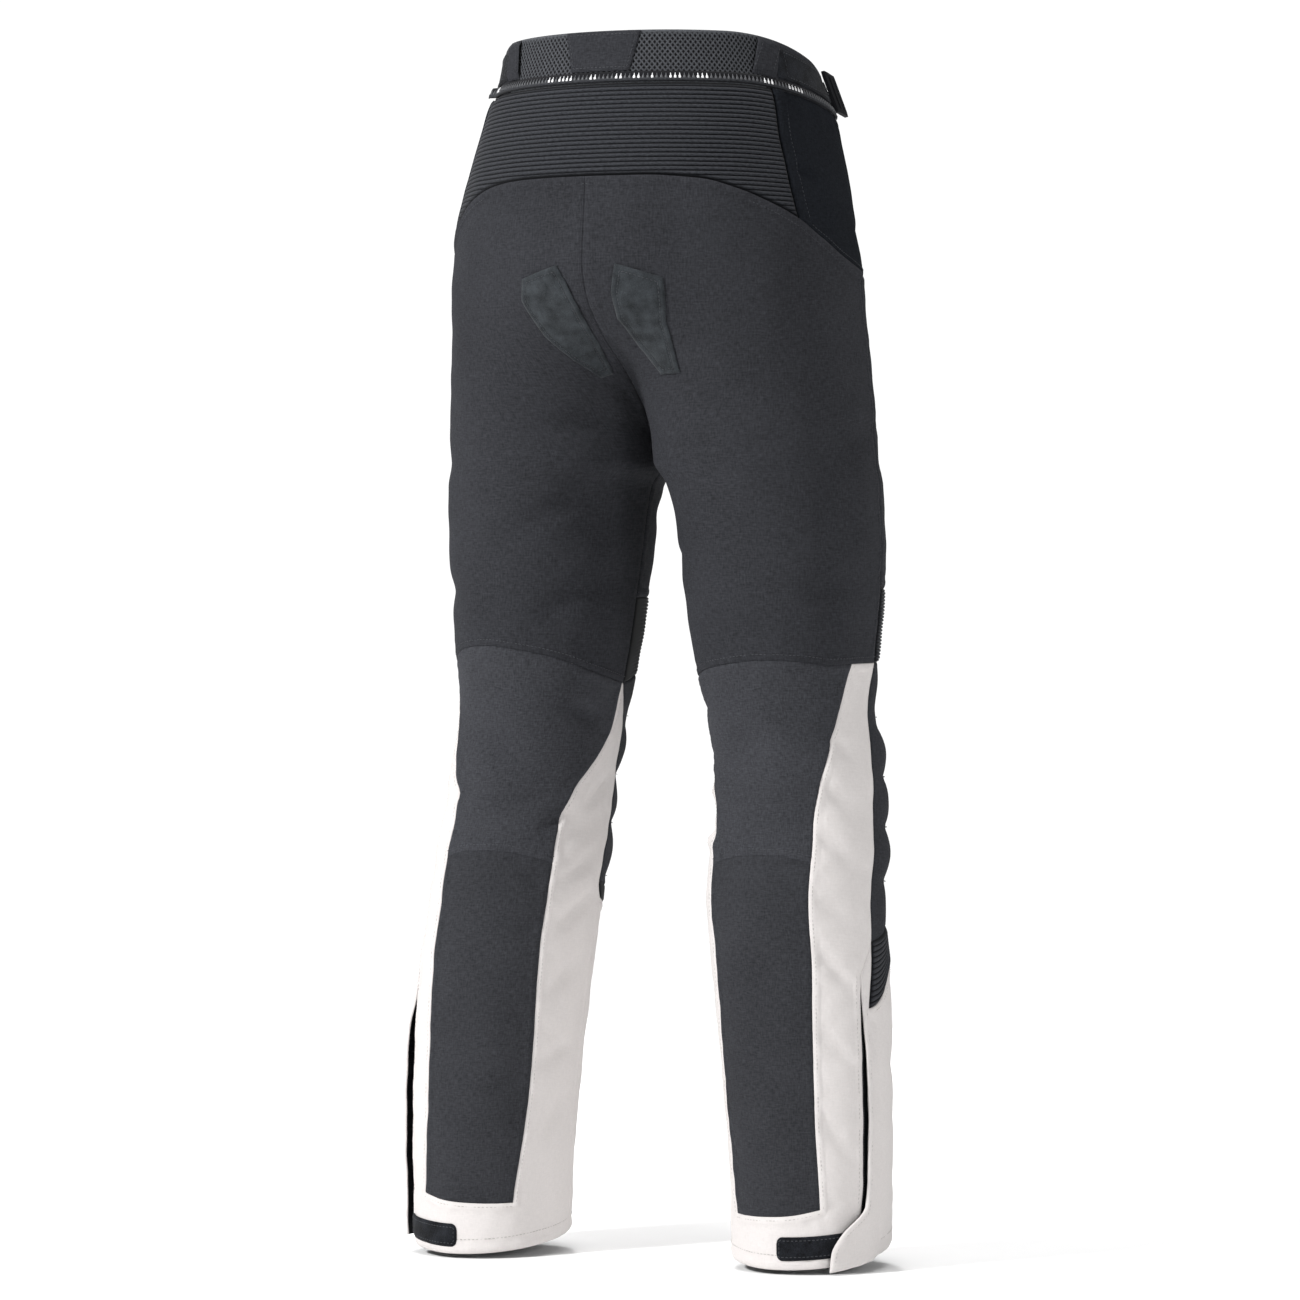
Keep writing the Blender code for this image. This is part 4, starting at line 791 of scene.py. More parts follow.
def seam_curves(side):
    """Named curves that panels share."""
    out_s, out_foot = OUTSEAM[0][1], OUTSEAM[-1][0]
    out_drop, stretch_drop, slant_drop = at_s(YOKE, out_s)[1], STRETCH_TOP[-1][1], KNEE_FOOT[-1][1]
    inner_s, shin_drop = INNER_FRONT_EDGE[-1][1], SHIN_SEAM[0][1]
    calf_back, calf_front = CALF_HEM[-1], CALF_HEM[0]
    back_top, inner_top, front_top = OUTER_BACK_EDGE[0], INNER_BACK_EDGE[0], INNER_FRONT_EDGE[0][0]
    knee, knee_s = KNEE_SEAM[side], KNEE_SEAM[side][0][0]
    down = {
        "hip_back": (HIP_BACK_EDGE, WAIST_SEAM, HIP_BACK_EDGE[-1][0]),
        "outseam": (OUTSEAM, out_drop, out_foot),
        "outseam_high": (OUTSEAM, out_drop, stretch_drop),
        "outseam_low": (OUTSEAM, stretch_drop, out_foot),
        "outer_front": (OUTER_FRONT_EDGE, OUTER_FRONT_EDGE[0][0], slant_drop),
        "outer_front_low": (OUTER_FRONT_EDGE, slant_drop, OUTER_FRONT_EDGE[-1][0]),
        "outer_back": (OUTER_BACK_EDGE, back_top[0], CALF_SEAM[0][1]),
        "outer_back_high": (OUTER_BACK_EDGE, back_top[0], FLAP_CORNER),
        "outer_back_low": (OUTER_BACK_EDGE, FLAP_CORNER, calf_front[1]),
        "calf_outer": (OUTER_BACK_EDGE, CALF_SEAM[0][1], calf_front[1]),
        "zip_edge": (ZIP_EDGE[side], FLAP_CORNER, calf_front[1]),
        "zip_edge_hem": (ZIP_EDGE[side], calf_front[1], HEM),
        "inner_back": (INNER_BACK_EDGE, inner_top[0], CALF_SEAM[-1][1]),
        "inner_back_high": (INNER_BACK_EDGE, inner_top[0], shin_drop),
        "inner_back_low": (INNER_BACK_EDGE, shin_drop, calf_back[1]),
        "calf_inner": (INNER_BACK_EDGE, CALF_SEAM[-1][1], calf_back[1]),
        "inner_front": (INNER_FRONT_EDGE, front_top, KNEE_FOOT[0][1]),
        "inner_front_high": (INNER_FRONT_EDGE, front_top, shin_drop),
        "inner_front_mid": (INNER_FRONT_EDGE, KNEE_FOOT[0][1], shin_drop),
    }
    leg_round = {
        "yoke": (YOKE, out_s, 1.0),
        "yoke_front": (YOKE, YOKE[0][0], out_s),
        "yoke_hip": (YOKE, YOKE[0][0], HIP_BACK_EDGE[-1][1]),
        "stretch_top": (STRETCH_TOP, 0, at_drop(OUTSEAM, stretch_drop)[0]),
        "knee_front_top": (KNEE_FRONT_SEAM, 0, KNEE_FRONT_SEAM[-1][0]),
        "knee_side_top": (knee, knee_s, back_top[1]),
        "knee_back_top": (knee, back_top[1], inner_top[1]),
        "knee_seam": (knee, knee_s, 1.0),
        "knee_foot": (KNEE_FOOT, KNEE_FOOT[0][0], KNEE_FOOT[-1][0]),
        "shin_top": (SHIN_SEAM, SHIN_SEAM[0][0], SHIN_SEAM[-1][0]),
        "calf_top": (CALF_SEAM, CALF_SEAM[0][0], CALF_SEAM[-1][0]),
        "calf_foot": (CALF_HEM, calf_front[0], calf_back[0]),
    }
    straight = {
        "slant": (at_drop(OUTER_FRONT_EDGE, slant_drop), at_drop(ZIP_EDGE[side], FLAP_CORNER)),
        "inner_front_low": ((inner_s, shin_drop), (inner_s, calf_back[1])),
        "inner_front_hem": ((inner_s, calf_back[1]), (inner_s, HEM)),
        "hem_front": (calf_front, (calf_front[0], HEM)),
        "hem_inner": (calf_back, (calf_back[0], HEM)),
    }
    return {name: make(*row) for make, rows in ((run_down, down), (run_round, leg_round), (line, straight))
            for name, row in rows.items()}


def ends(curve):
    """A curve's first and last points."""
    found = curve(np.array([0.0, 1.0]))
    return found[0], found[1]


def strip(left, right, u, t, top=None):
    """A patch between two curves, straight across at its foot and, without another curve, at its top."""
    (left_top, left_foot), (right_top, right_foot) = ends(left), ends(right)
    return patch(left, right, top or line(left_top, right_top), line(left_foot, right_foot), u, t)


def quad(top_left, top_right, foot_left, foot_right, u, t):
    """A patch with straight borders between four corners (s, drop)."""
    return strip(line(top_left, foot_left), line(top_right, foot_right), u, t)


def rectangle(s0, s1, drop0, drop1, pitch=0.003, rounded=0.0):
    """A plain patch with straight borders, its far end's corners rounded to a radius."""
    u = stations(drop1 - drop0, pitch)
    t = stations((s1 - s0) * LEG_GIRTH, pitch)
    grid = quad((s0, drop0), (s1, drop0), (s0, drop1), (s1, drop1), u, t)
    if rounded:
        half, middle = (drop1 - drop0) / 2, (drop0 + drop1) / 2
        past = np.clip(1 - (s1 - grid[..., 0]) * LEG_GIRTH / rounded, 0, 1)
        keep = 1 - rounded / half * (1 - np.sqrt(1 - past ** 2))
        grid[..., 1] = middle + (grid[..., 1] - middle) * keep
    return grid


def waist():
    """Mesh elastic round the back, a plain band to each side of the front."""
    left_top, left_foot, _ = BELT_LOOP["left"]
    right_top, right_foot, _ = BELT_LOOP["right"]
    height = WAIST_SEAM - WAIST_TOP
    back = quad((left_top, WAIST_TOP), (2 - right_top, WAIST_TOP), (left_foot, WAIST_SEAM),
                (2 - right_foot, WAIST_SEAM), even(height, 0.0008), even(0.255, 0.00062))
    cloth("waist_back", None, [back], MESH, "mesh_elastic", relief=mesh_relief, bounds=(0, 2),
          crest_highlight=mesh_crest)
    for side in SIDES:
        top, foot, _ = BELT_LOOP[side]
        front = quad((0, WAIST_TOP), (top, WAIST_TOP), (0, WAIST_SEAM), (foot, WAIST_SEAM),
                     stations(height), stations(0.3))
        cloth("waist_front", side, [front], BLACK, "black_cloth")


def hips():
    """The ribbed back and the plain sides of the hips."""
    lines = seam_curves("left")
    rows = int((HIP_BACK_EDGE[-1][0] - WAIST_SEAM) / LUMBAR_PITCH * 7) + 1
    drops = np.linspace(WAIST_SEAM, HIP_BACK_EDGE[-1][0], rows)
    t = stations(0.40, 0.0050)
    left = smooth(HIP_BACK_EDGE, drops)[:, None]
    s = left + (2 - 2 * left) * t[None]
    low = smooth(YOKE, np.where(s > 1, 2 - s, s))
    drop = np.minimum(drops[:, None], low)
    foot = drop < drops[:, None]
    s = np.where(foot, np.take_along_axis(s, np.argmax(foot, axis=0)[None].clip(0), 0), s)
    drop = np.where(foot, np.minimum(drop, smooth(YOKE, np.where(s > 1, 2 - s, s))), drop)
    grid = np.stack([s, drop, (drop - WAIST_SEAM) / 0.1], -1)
    cloth("lumbar_stretch", None, [grid], RIBS, "rib_stretch", relief=lumbar_relief, bounds=(0, 2),
          gap=RIB_GAP, crest_highlight=lumbar_crest)
    u, t = stations(0.13, 0.003), stations(0.16, 0.0035, end=FELLED)
    hip = patch(line((YOKE[0][0], WAIST_SEAM), YOKE[0]), lines["hip_back"],
                line((YOKE[0][0], WAIST_SEAM), (HIP_BACK_EDGE[0][1], WAIST_SEAM)), lines["yoke_hip"], u, t)
    for side in SIDES:
        # The hip sides take the darker copy of the black cloth as painted shade.
        cloth("hip_side", side, [hip], SHADED_HIP, "black_cloth", relief=hip_relief)


def hip_relief(s, drop, share, away):
    """A raised double-stitched band beside the ribs and a low one beside the other seams."""
    back = (smooth(HIP_BACK_EDGE, drop) - s) * LEG_GIRTH
    gathers = 0.0007 * np.sin(s * LEG_GIRTH / 0.0042) * np.exp(-((drop - 0.022) / 0.010) ** 2)
    return 0.0018 * (1 - ease(0.0120, 0.0136, back)) + band(away, 0.0065, 0.0004) + gathers


def seat_relief(s, drop, share, away):
    """A raised band under the yoke seam and a swell along the other seams."""
    under = drop - smooth(YOKE, s)
    groove = 0.0011 * np.exp(-((under - 0.0062) / 0.0009) ** 2)
    return (0.0020 * (1 - ease(0.0066, 0.0084, under)) - groove + band(away, 0.0065, 0.0004)
            + puckers(s, drop, away) * ease(0.01, 0.03, under))


def thighs(side, lines):
    """Seat with the back of the thigh, front of the thigh, ribs over the knee."""
    seat = patch(lines["outseam"], line((1, YOKE[-1][1]), (1, KNEE_SEAM[side][-1][1])), lines["yoke"],
                 lines["knee_seam"], stations(0.40, start=FELLED), stations(0.29))
    cloth("seat_and_thigh", side, [seat], BLACK, "black_cloth", relief=seat_relief)
    hip_s, hip_drop = YOKE[0]
    across, u = stations(0.15), stations(0.27)
    upper = quad((0, WAIST_SEAM), (hip_s, WAIST_SEAM), (0, hip_drop), (hip_s, hip_drop), stations(0.16), across)
    fold = line((hip_s, hip_drop), at_s(STRETCH_TOP, hip_s))
    inner = patch(line((0, hip_drop), STRETCH_TOP[0]), fold, line((0, hip_drop), (hip_s, hip_drop)),
                  run_round(STRETCH_TOP, 0, hip_s), u, across)
    outer = patch(fold, lines["outseam_high"], lines["yoke_front"],
                  run_round(STRETCH_TOP, hip_s, at_drop(OUTSEAM, STRETCH_TOP[-1][1])[0]), u, stations(0.09))
    cloth("front_thigh", side, [upper, inner, outer], BLACK, "black_cloth", relief=plain)
    ribs("thigh_stretch", side, STRETCH_RIBS, 0.24, line(STRETCH_TOP[0], KNEE_FRONT_SEAM[0]),
         lines["outseam_low"], lines["stretch_top"], lines["knee_front_top"])


def ribs(node, side, rows, width, *borders):
    """A ribbed stretch panel between four borders."""
    count, rise = rows
    grid = patch(*borders, np.linspace(0, 1, count * 6 + 1), stations(width, 0.005))
    # The ribs' shape at full height is also the mask of their painted highlight.
    cloth(node, side, [grid], RIBS, "rib_stretch", relief=ribs_between(count, rise), gap=RIB_GAP,
          crest_highlight=ribs_between(count, 1.0))


def knees(side, lines):
    """Padded knee, ribs under it, back of the knee and calf."""
    pad = patch(shifted(lines["inner_front"], -1), lines["outer_front"], lines["knee_front_top"],
                lines["knee_foot"], stations(0.24, 0.0040), stations(0.25, 0.0045))
    cloth("knee_front", side, [pad], BLACK, "mesh_elastic", relief=knee_relief, gap=RIB_GAP)
    ribs("shin_stretch", side, SHIN_RIBS, 0.26, shifted(lines["inner_front_mid"], -1), lines["outer_front_low"],
         lines["knee_foot"], lines["shin_top"])
    back = patch(lines["outer_back"], lines["inner_back"], lines["knee_back_top"], lines["calf_top"],
                 stations(0.17), stations(0.22))
    cloth("knee_back", side, [back], KNEE, "knee_cloth", relief=plain)
    calf = patch(lines["calf_outer"], lines["calf_inner"], lines["calf_top"], lines["calf_foot"],
                 stations(0.30), stations(0.11))
    cloth("calf", side, [calf], CALF, "black_cloth", relief=plain)


def side_panel(side, lines):
    """The light panel down both sides of the calf and round the hem."""
    start = OUTER_FRONT_EDGE[0][0]
    turn = (KNEE_FOOT[-1][1] - start) / (FLAP_CORNER - start)
    hem, t, t_inner = stations(0.048), stations(0.042), stations(0.075)
    grids = [
        strip(chain(lines["outer_front"], lines["slant"], turn), lines["outer_back_high"],
              stations(0.27, turns=(turn,)), t, lines["knee_side_top"]),
        strip(lines["zip_edge"], lines["outer_back_low"], stations(0.20), t),
        strip(lines["zip_edge_hem"], lines["hem_front"], hem, t),
        strip(lines["hem_front"], lines["hem_inner"], hem, stations(0.11), lines["calf_foot"]),
        strip(lines["hem_inner"], lines["inner_front_hem"], hem, t_inner),
        strip(lines["inner_back_low"], lines["inner_front_low"], stations(0.265), t_inner),
        strip(lines["inner_back_high"], lines["inner_front_high"], stations(0.19), t_inner),
    ]
    cloth("side_panel", side, grids, GREY, "grey_cloth", relief=plain, bounds=(0, 2), flat=(0.40, 0.52))


def flap_lift(side):
    """How far the cover stands off the leg."""
    upper = 0.55 if side == "right" else 1.0
    return lambda s, drop: (FLAP_LIFT[side] * (upper + (1 - upper) * ease(0.955, 0.985, drop))
                            * ease(FLAP_HINGE, FLAP_OPEN_S, s) * ease(FLAP_CORNER, FLAP_OPEN_DROP, drop))


def shin(side, lines):
    """The light shin with the cover over the zip, its free edge wavy."""
    edge = FLAP_EDGE[side]
    tip = np.array(SHIN_SEAM[-1])
    free = run_down(edge, tip[1], edge[-1][0])
    free_top = ends(free)[0]
    slant_start, slant_end = ends(lines["slant"])
    start = slant_start + (slant_end - slant_start) * COVER_TIP
    cover_back = poly([start, slant_end, at_drop(edge, (FLAP_CORNER + tip[1]) / 2), free_top])
    t_cover = stations(0.02)
    cover = patch(lines["outer_front_low"], cover_back, line(slant_start, start), line(tip, free_top),
                  stations(0.06, turns=(1 / 3,)), t_cover)
    inner_s = INNER_FRONT_EDGE[-1][1] - 1
    top_left = (inner_s, SHIN_SEAM[0][1])
    join_s = (SHIN_SEAM[-1][0] - SHIN_SEAM[0][0]) / (free_top[0] - SHIN_SEAM[0][0])
    t_body = stations(0.27)
    t = np.concatenate([t_body * join_s, join_s + t_cover[1:] * (1 - join_s)])
    hem_left = (inner_s, HEM)
    body = patch(line(top_left, hem_left), free, chain(lines["shin_top"], line(tip, free_top), join_s),
                 chain(line(hem_left, (FLAP_HINGE, HEM)), line((FLAP_HINGE, HEM), ends(free)[1]), join_s),
                 stations(0.29), t)
    cloth("shin", side, [cover, body], GREY, "grey_cloth", lift=flap_lift(side), relief=plain)


def stitched_in(s, drop, share, away):
    """A line of stitches pulls a groove into the patch inside its edge."""
    return -0.0006 * np.exp(-((away - 0.0045) / 0.0009) ** 2)


def trim(side):
    """Gusset, hem tab and grip patch of one leg; loop, strap and anchor on the waistband."""
    def sewn_on(node, grid, look, slot, lift, relief=None):
        cloth(node, side, [grid], look, slot, TRIM_WALL, lift, relief)
    # The gusset takes the darker copy of the black cloth as painted shade of the slit.
    sewn_on("zip_gusset", rectangle(*GUSSET, pitch=0.004), SHADED_GUSSET_CLOTH, "black_cloth", -GUSSET_SINK)
    sewn_on("hem_tab", rectangle(*HEM_TAB[side], rounded=0.006), HOOKS, "hook_tape", LIFT)
    suede = strip(poly(GRIP_PATCH[side]["outer"]), poly(GRIP_PATCH[side]["inner"]), even(0.09, 0.0011),
                  even(0.05, 0.0011))
    sewn_on("grip_patch", suede, SUEDE, "suede", LIFT + 0.0004, stitched_in)
    top, foot, half = BELT_LOOP[side]
    a, b = WAIST_TOP + 0.001, ZIP_TAPE_DROP[0] - 0.001

    def arch(s, drop):
        return LIFT + (BELT_LOOP_LIFT - LIFT) * ease(a, a + 0.006, drop) * (1 - ease(b - 0.006, b, drop))
    loop = quad((top - half, a), (top + half, a), (foot - half, b), (foot + half, b), stations(b - a, 0.003),
                stations(0.024, 0.003))
    sewn_on("belt_loop", loop, BLACK, "black_cloth", arch)
    sewn_on("adjuster_strap", rectangle(BUCKLE[1] + 0.002, top - 0.010, *STRAP_DROP), HOOKS, "hook_tape", LIFT)
    sewn_on("adjuster_anchor", rectangle(ANCHOR_FRONT, BUCKLE[0] + 0.006, *STRAP_DROP), BLACK, "black_cloth",
            LIFT)


def tape_lift(s, drop):
    """The zip tape's left end turns outward."""
    return LIFT + ZIP_TAPE_END_LIFT * (1 - ease(ZIP_TAPE[0], ZIP_TAPE[0] + 0.03, s))


def centre_trim():
    """The bare back tab, the zip tape, the fly cover and the closure tab."""
    def sewn_on(node, grid, bounds, look=BLACK, slot="black_cloth", lift=LIFT, relief=None, crest_highlight=None):
        cloth(node, None, [grid], look, slot, TRIM_WALL, lift, relief, bounds, crest_highlight=crest_highlight)
    s0, s1 = ZIP_TAPE
    top, foot = ZIP_TAPE_DROP
    tab = quad(*BACK_TAB, stations(BACK_TAB[2][1] - BACK_TAB[0][1], 0.003), stations(0.07, 0.003))
    sewn_on("back_tab", tab, (0, 2))
    tape = quad((s0, top), (s1, top), (s0, foot), (s1, foot), even(0.009, 0.0006), even(0.44, 0.003))
    sewn_on("connection_zip", tape, (0, 2), TAPE, "zip_tape", tape_lift, tape_relief, tape_crest)
    sewn_on("fly_cover", rectangle(*FLY), (-1, 1), lift=LIFT + 0.0006)
    sewn_on("closure_tab", rectangle(*CLOSURE_TAB), (-1, 1))


def frames(path, side, lift, low, high):
    """Places on the cloth along a path of (s, drop): position, direction along, direction out."""
    s, drop = np.clip(path[:, 0], low, high), path[:, 1]
    out = normals(s, drop, low, high)
    level = ground(s, drop, side) + (lift(s, drop) if callable(lift) else lift)
    place = surface(s, drop) + out * level[:, None]
    along = np.gradient(place, axis=0)
    along /= np.linalg.norm(along, axis=1, keepdims=True)
    return place, along, out


# One stitch along x: ends, then a ring near each end
STITCH = np.array([(-0.5, 0, -0.6)] + [(x, 0.5 * y, 0.5 * z) for x in (-0.3, 0.3)
                                       for y, z in ((1, 0), (0, 1), (-1, 0), (0, -1))] + [(0.5, 0, -0.6)])
STITCH_FACES = ([(0, 1 + k, 1 + (k + 1) % 4) for k in range(4)]
                + [(1 + k, 5 + k, 5 + (k + 1) % 4, 1 + (k + 1) % 4) for k in range(4)]
                + [(9, 5 + (k + 1) % 4, 5 + k) for k in range(4)])


def strewn(name, runs, places, solid, faces_of_one, size, rise, looks, slot, lit=None):
    """One mesh of small solids along paths on the cloth; each run is side, path, lift, bounds."""
    vertices, faces, face_looks = [], [], []
    for side, path, lift, bounds in runs:
        place, _, _ = frames(path, side, lift, *bounds)
        walked = np.concatenate([[0], np.cumsum(np.linalg.norm(np.diff(place, axis=0), axis=1))])
        at = places(walked[-1])
        fine = np.stack([np.interp(at, walked, path[:, k]) for k in (0, 1)], -1)
        flip = SIDES.get(side, 1)
        for share, p, a, n in zip(at / walked[-1], *frames(fine, side, lift, *bounds)):
            first = len(vertices)
            shape = (solid * size + (0, 0, rise)) @ np.stack([a, np.cross(n, a), n])
            vertices += list((p + shape) * (flip, 1, 1))
            faces += [tuple(first + v for v in face[::flip]) for face in faces_of_one]
            face_looks += [int(lit is not None and lit(share))] * len(faces_of_one)
    return finished(name, vertices, faces, looks, None, slot, face_looks=np.array(face_looks, int))


def stitched(name, runs, look, slot):
    """All the stitches of one thread colour, joined."""
    length, pitch, thick, rise = STITCH_SIZE
    end = length / 2 + 0.0005
    strewn(name, runs, lambda far: np.linspace(end, far - end, int((far - length) / pitch) + 1),
           STITCH, STITCH_FACES, (length, thick, 0.8 * thick), rise, [look], slot)


def sampled(curve, count=160):
    """Points along a curve."""
    return curve(np.linspace(0, 1, count))


def offset(path, by):
    """A path of (s, drop) moved sideways by a distance: down for one that runs to larger s."""
    flat = path * (LEG_GIRTH, 1)
    run = np.gradient(flat, axis=0)
    run /= np.linalg.norm(run, axis=1, keepdims=True)
    return (flat + by * np.stack([-run[:, 1], run[:, 0]], -1)) / (LEG_GIRTH, 1)


def loop_path(points, count=30):
    """A closed path through outline points."""
    points = np.concatenate([points, points[:1]])
    return np.concatenate([line(p, q)(np.linspace(0, 1, count)[:-1]) for p, q in zip(points, points[1:])]
                          + [points[-1:]])


def box_path(s0, s1, drop0, drop1, by):
    """The outline of a rectangle drawn in by a distance, closed."""
    a = by / LEG_GIRTH
    return loop_path(np.array([(s0 + a, drop0 + by), (s1 - a, drop0 + by), (s1 - a, drop1 - by),
                               (s0 + a, drop1 - by)]), 40)


def drawn_in(points, by):
    """A closed outline of (s, drop) points, clockwise as seen, drawn in by a distance."""
    flat = np.array(points, float) * (LEG_GIRTH, 1)
    before, after = np.roll(flat, 1, 0), np.roll(flat, -1, 0)
    first, second = flat - before, after - flat
    first /= np.linalg.norm(first, axis=1, keepdims=True)
    second /= np.linalg.norm(second, axis=1, keepdims=True)
    turned = np.stack([-first[:, 1], first[:, 0]], -1) + np.stack([-second[:, 1], second[:, 0]], -1)
    middle = flat.mean(0)
    sign = np.sign(((middle - flat) * turned).sum(1).sum())
    scale = np.maximum((turned ** 2).sum(1) / 2, 0.6)
    return (flat + sign * by * turned / scale[:, None]) / (LEG_GIRTH, 1)


def stitching():
    """Topstitching in black on the dark cloth and in pale grey on the light cloth."""
    dark, pale = [], []
    half, round_leg, middle = (0, 1), (0, 2), (-1, 1)
    hip_s = YOKE[0][0]
    for side in SIDES:
        lines = seam_curves(side)
        top, foot, wide = BELT_LOOP[side]
        rows = [(offset(sampled(curve, count), by), lift) for curve, count, by, lift in (
            (lines["yoke"], 300, 0.0062, 0.0010),
            (lines["hip_back"], 160, 0.0030, 0.0017),
            (lines["hip_back"], 160, 0.0112, 0.0017),
            (lines["knee_seam"], 300, -0.0055, ON_SEAM),
            (lines["calf_top"], 160, -0.0055, ON_SEAM),
            (lines["outseam"], 300, -0.0050, ON_SEAM),
            (lines["yoke_hip"], 160, -0.0050, ON_SEAM),
            (line((hip_s, WAIST_SEAM + 0.004), YOKE[0]), 160, 0.0050, ON_SEAM),
            (line((0.06, WAIST_SEAM), (hip_s, WAIST_SEAM)), 160, 0.0040, ON_SEAM),
            (run_round(STRETCH_TOP, 0, 0.474), 160, -0.0040, ON_SEAM))]
        rows.append((sampled(line((0.07, WAIST_TOP + 0.0035), (0.34, WAIST_TOP + 0.0035))), 0.0))
        for (a, b, _), (c, d, _) in zip(KNEE_PADS, KNEE_PADS[1:]):
            across = (a + b + c - d) / 2
            rows.append((sampled(line((0.07, across), (0.47, across))), 0.0012))
        rows.append((box_path(*HEM_TAB[side], 0.0030), LIFT))
        for by in (-wide + 0.006, wide - 0.006):
            edge = line((top + by, WAIST_TOP + 0.007), (foot + by, ZIP_TAPE_DROP[0] - 0.007))
            rows.append((sampled(edge), BELT_LOOP_LIFT))
        rows.append((box_path(BUCKLE[1] + 0.010, top - wide - 0.002, *STRAP_DROP, 0.0032), LIFT))
        rows.append((box_path(ANCHOR_FRONT, BUCKLE[0], *STRAP_DROP, 0.0032), LIFT))
        outline = GRIP_PATCH[side]["outer"] + GRIP_PATCH[side]["inner"][::-1]
        rows.append((loop_path(drawn_in(outline, 0.0045)), LIFT + 0.0004))
        dark += [(side, path, lift, half) for path, lift in rows]

        for name, count, skip, by in (
                ("outer_back_high", 300, 0, 0.0032), ("outer_back_low", 200, 0, 0.0032),
                ("inner_back_high", 300, 20, -0.0032), ("inner_back_low", 200, 0, -0.0032),
                ("calf_foot", 160, 0, 0.0032)):
            pale.append((side, offset(sampled(lines[name], count)[skip:], by), ON_SEAM, round_leg))
        hem_start = at_drop(ZIP_EDGE[side], HEM_STITCH)[0] + 0.006
        lift = flap_lift(side)
        free = run_down(FLAP_EDGE[side], 0.79, FLAP_EDGE[side][-1][0] - 0.004)
        zip_edge = run_down(ZIP_EDGE[side], FLAP_CORNER, HEM - 0.02)
        pale += [
            (side, sampled(line((hem_start, HEM_STITCH), (1.02, HEM_STITCH)), 400), 0.0, round_leg),
            (side, sampled(line((0.036, HEM_STITCH), (0.52, HEM_STITCH)), 400), 0.0, half),
            (side, offset(sampled(lines["shin_top"]), 0.0040), ON_SEAM, half),
            (side, offset(sampled(free, 260), 0.0040), lambda s, drop, lift=lift: lift(s, drop) + 0.0003, half),
            (side, offset(sampled(zip_edge, 260), -0.0050), ON_SEAM, half)]
    left_top, right_top, left_foot, right_foot = BACK_TAB
    tab = drawn_in([left_top, right_top, right_foot, left_foot], 0.0030)
    down = np.linspace(0, 1, 120)
    fly = np.stack([0.085 - 0.085 * ease(0.62, 1.0, down), 0.016 + 0.172 * down], -1)
    dark += [(None, loop_path(tab), LIFT, round_leg), (None, box_path(*FLY, 0.0035), LIFT + 0.0006, middle),
             ("left", fly, 0.0, half), (None, box_path(*CLOSURE_TAB, 0.0032), LIFT, middle)]
    stitched("stitching_dark", dark, THREAD, "black_cloth")
    stitched("stitching_pale", pale, PALE_THREAD, "grey_cloth")


# A zip tooth: a broad foot that narrows to a thin upright, x across, y up along the tooth, z out
TOOTH = np.array([(x * w, y, z) for y, w, high in ((-0.5, 0.5, 0.8), (-0.1, 0.42, 1.0), (0.08, 0.20, 0.7),
                                                   (0.5, 0.14, 0.5))
                  for x, z in ((-1, 0), (1, 0), (1, high), (-1, high))])
TOOTH_FACES = [(0, 3, 2, 1), (12, 13, 14, 15)]
TOOTH_FACES += [(4 * r + k, 4 * r + (k + 1) % 4, 4 * r + 4 + (k + 1) % 4, 4 * r + 4 + k)
                for r in range(3) for k in range(4)]


def teeth(name, runs, size, looks, lit=None):
    """Rows of zip teeth along paths of (s, drop), with some given a pale painted highlight."""
    *size, pitch = size
    item = strewn(name, runs, lambda far: np.arange(pitch, far - pitch, pitch), TOOTH, TOOTH_FACES, size, 0,
                  looks, "zip_tape", lit)
    bevel = item.modifiers.new("edges", "BEVEL")
    bevel.width, bevel.segments = size[0] * 0.18, 1


def glints(share):
    """The teeth with the pale painted highlight lie in clusters."""
    s = ZIP_TAPE[0] + (ZIP_TAPE[1] - ZIP_TAPE[0]) * share
    return any(start < s < end for start, end in GLINTS)


def zips():
    """Teeth of the joining zip at the waist and of the leg zips."""
    s = np.linspace(ZIP_TAPE[0] + 0.004, ZIP_TAPE[1] - 0.004, 400)
    path = np.stack([s, np.full_like(s, ZIP_TAPE_DROP[0] + 0.0044)], -1)
    # The clustered teeth take the painted highlight colour.
    teeth("joining_zip_teeth", [(None, path, lambda s, drop: tape_lift(s, drop) - 0.0002, (0, 2))],
          JOINING_TEETH, [COIL, GLINT], glints)
    rows = []
    for side in SIDES:
        edge = sampled(run_down(ZIP_EDGE[side], FLAP_CORNER + 0.02, HEM - 0.016), 300)
        rows.append((side, offset(edge, 0.0032), -GUSSET_SINK + 0.0001, (0, 1)))
    teeth("leg_zip_teeth", rows, LEG_TEETH, [COIL])


def placed(name, data, place, towards):
    """An object at a place, with its -Z turned to a direction."""
    item = bpy.data.objects.new(name, data)
    bpy.context.scene.collection.objects.link(item)
    item.location = Vector(place)
    item.rotation_mode = "QUATERNION"
    item.rotation_quaternion = Vector(towards).to_track_quat("-Z", "Y")
    return item


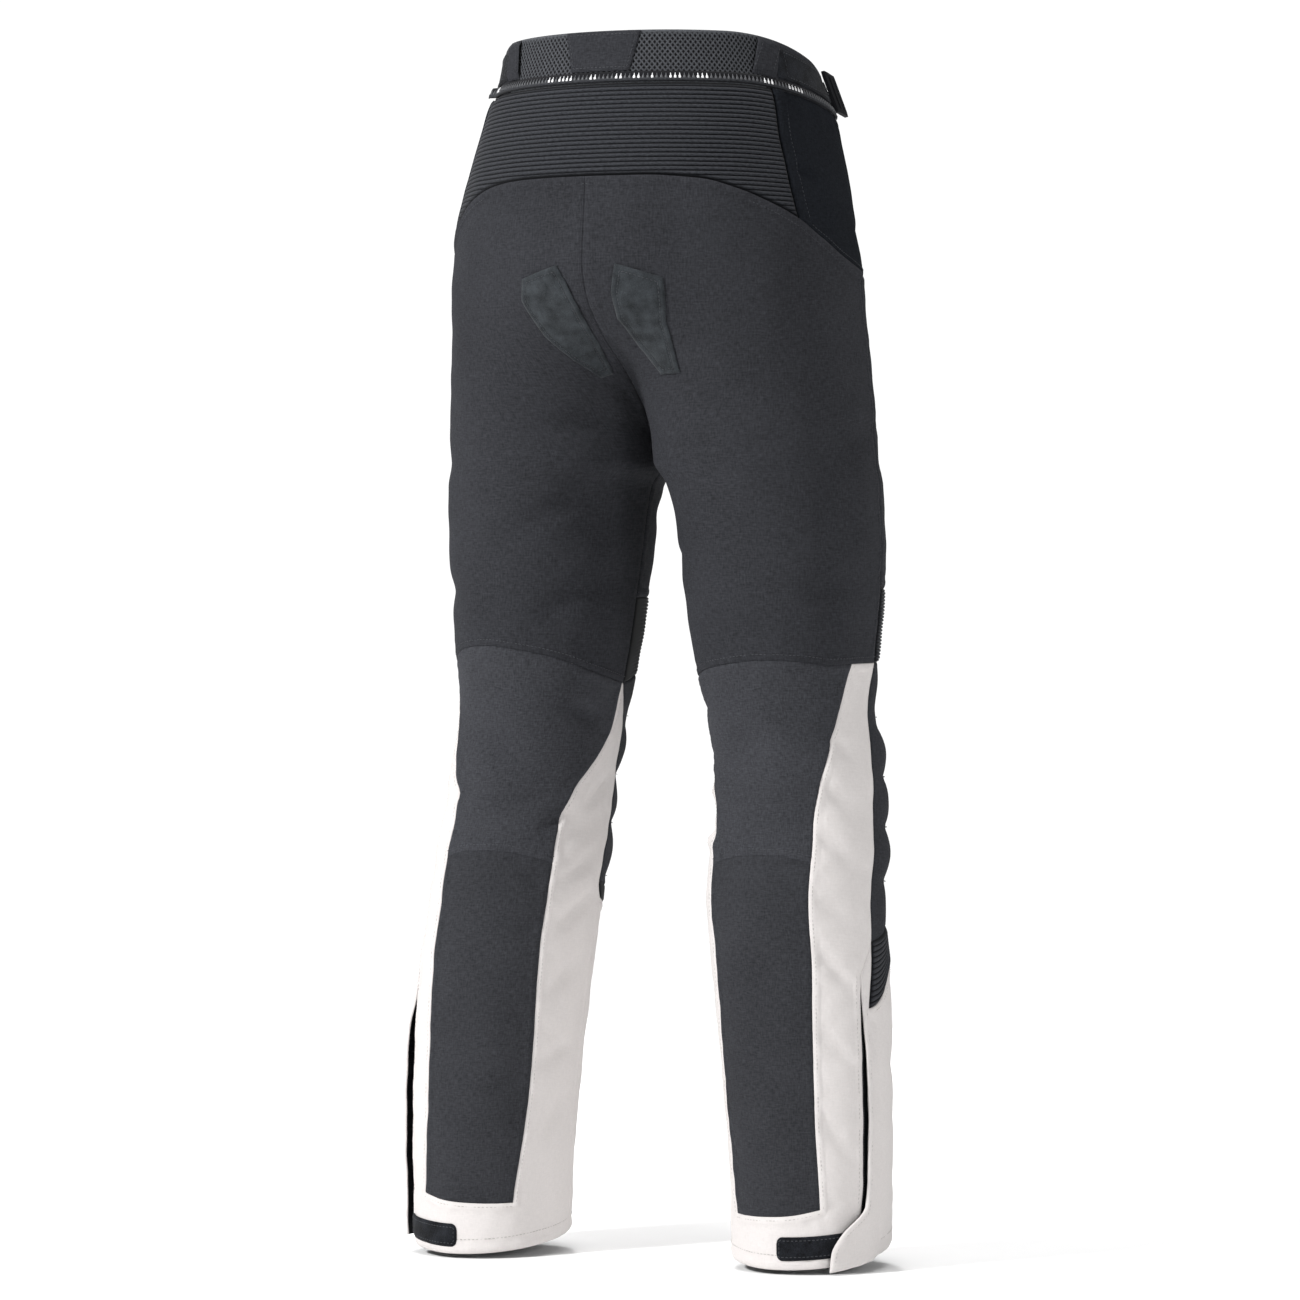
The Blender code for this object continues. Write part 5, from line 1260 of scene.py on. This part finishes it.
def camera_and_light():
    """The photograph's view from behind, a pale floor, and soft light mainly from the upper left."""
    scene = bpy.context.scene
    back = np.array([-np.sin(VIEW_TURN), np.cos(VIEW_TURN), 0])
    right = np.array([-np.cos(VIEW_TURN), -np.sin(VIEW_TURN), 0])
    lens = bpy.data.cameras.new("camera")
    lens.lens, lens.sensor_width = VIEW_LENS, 36.0
    scene.camera = placed("camera", lens, VIEW_AWAY * back + VIEW_SHIFT * right + (0, 0, VIEW_HEIGHT), -back)
    for name, place, target, size, power in (
            ("key", 2.4 * back - 3.6 * right + (0, 0, 2.1), (0, 0, -0.7), 0.7, 285),
            ("fill", 3.8 * back + 2.2 * right + (0, 0, 0.5), (0, 0, -0.8), 1.1, 52),
            ("front", (1.8, -3.2, 1.6), (0, 0, -0.5), 0.9, 95),
            ("top", (0, -0.5, 3.2), (0, -0.5, 0), 4.0, 95)):
        data = bpy.data.lights.new(name, "AREA")
        data.shape, data.size, data.energy = "DISK", size, power
        placed(name, data, place, np.subtract(target, place))

    world = scene.world = bpy.data.worlds.new("studio")
    world.use_nodes = True
    fill, add = builder(world.node_tree)
    seen = add("LightPath", out="Is Camera Ray")
    strength = span(add, seen, 0, 1, WORLD_LIGHT, WORLD_SEEN)
    fill(world.node_tree.nodes["Background"], {0: (1.0, 1.0, 1.0, 1), 1: strength})
    scene.view_settings.view_transform = "Standard"

    add, dress = material("floor")
    tone = span(add, noise(add, add("TexCoord", out="Object"), 3.0, 2.0), 0, 1, 0.93, 0.95)
    look = dress({"Base Color": add("CombineColor", {0: tone, 1: tone, 2: tone}), "Roughness": 0.9})
    data = bpy.data.meshes.new("floor")
    data.from_pydata([(x * FLOOR_HALF, y * FLOOR_HALF, FLOOR) for x, y in ((-1, -1), (1, -1), (1, 1), (-1, 1))],
                     [], [(0, 1, 2, 3)])
    data.materials.append(look)
    floor = bpy.data.objects.new("floor", data)
    scene.collection.objects.link(floor)


def carried_over():
    """The solids that stay: buckles and snap, with rounded edges and their materials."""
    for name, look, width in (("left_adjuster_buckle", PLASTIC, 0.0007),
                              ("right_adjuster_buckle", PLASTIC, 0.0007), ("closure_snap", METAL, 0.0006)):
        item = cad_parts[name]
        for slot in item.material_slots:
            slot.material = look
        bevel = item.modifiers.new("edges", "BEVEL")
        bevel.width, bevel.segments, bevel.limit_method, bevel.angle_limit = width, 3, "ANGLE", 0.6


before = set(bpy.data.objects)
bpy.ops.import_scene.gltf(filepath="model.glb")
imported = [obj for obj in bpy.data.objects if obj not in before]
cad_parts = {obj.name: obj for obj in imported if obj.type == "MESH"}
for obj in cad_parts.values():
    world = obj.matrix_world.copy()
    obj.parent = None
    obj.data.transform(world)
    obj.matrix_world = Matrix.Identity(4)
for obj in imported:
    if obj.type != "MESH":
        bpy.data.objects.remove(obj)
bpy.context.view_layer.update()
waist()
hips()
for leg in SIDES:
    curves = seam_curves(leg)
    thighs(leg, curves)
    knees(leg, curves)
    side_panel(leg, curves)
    shin(leg, curves)
    trim(leg)
centre_trim()
stitching()
zips()
carried_over()
camera_and_light()
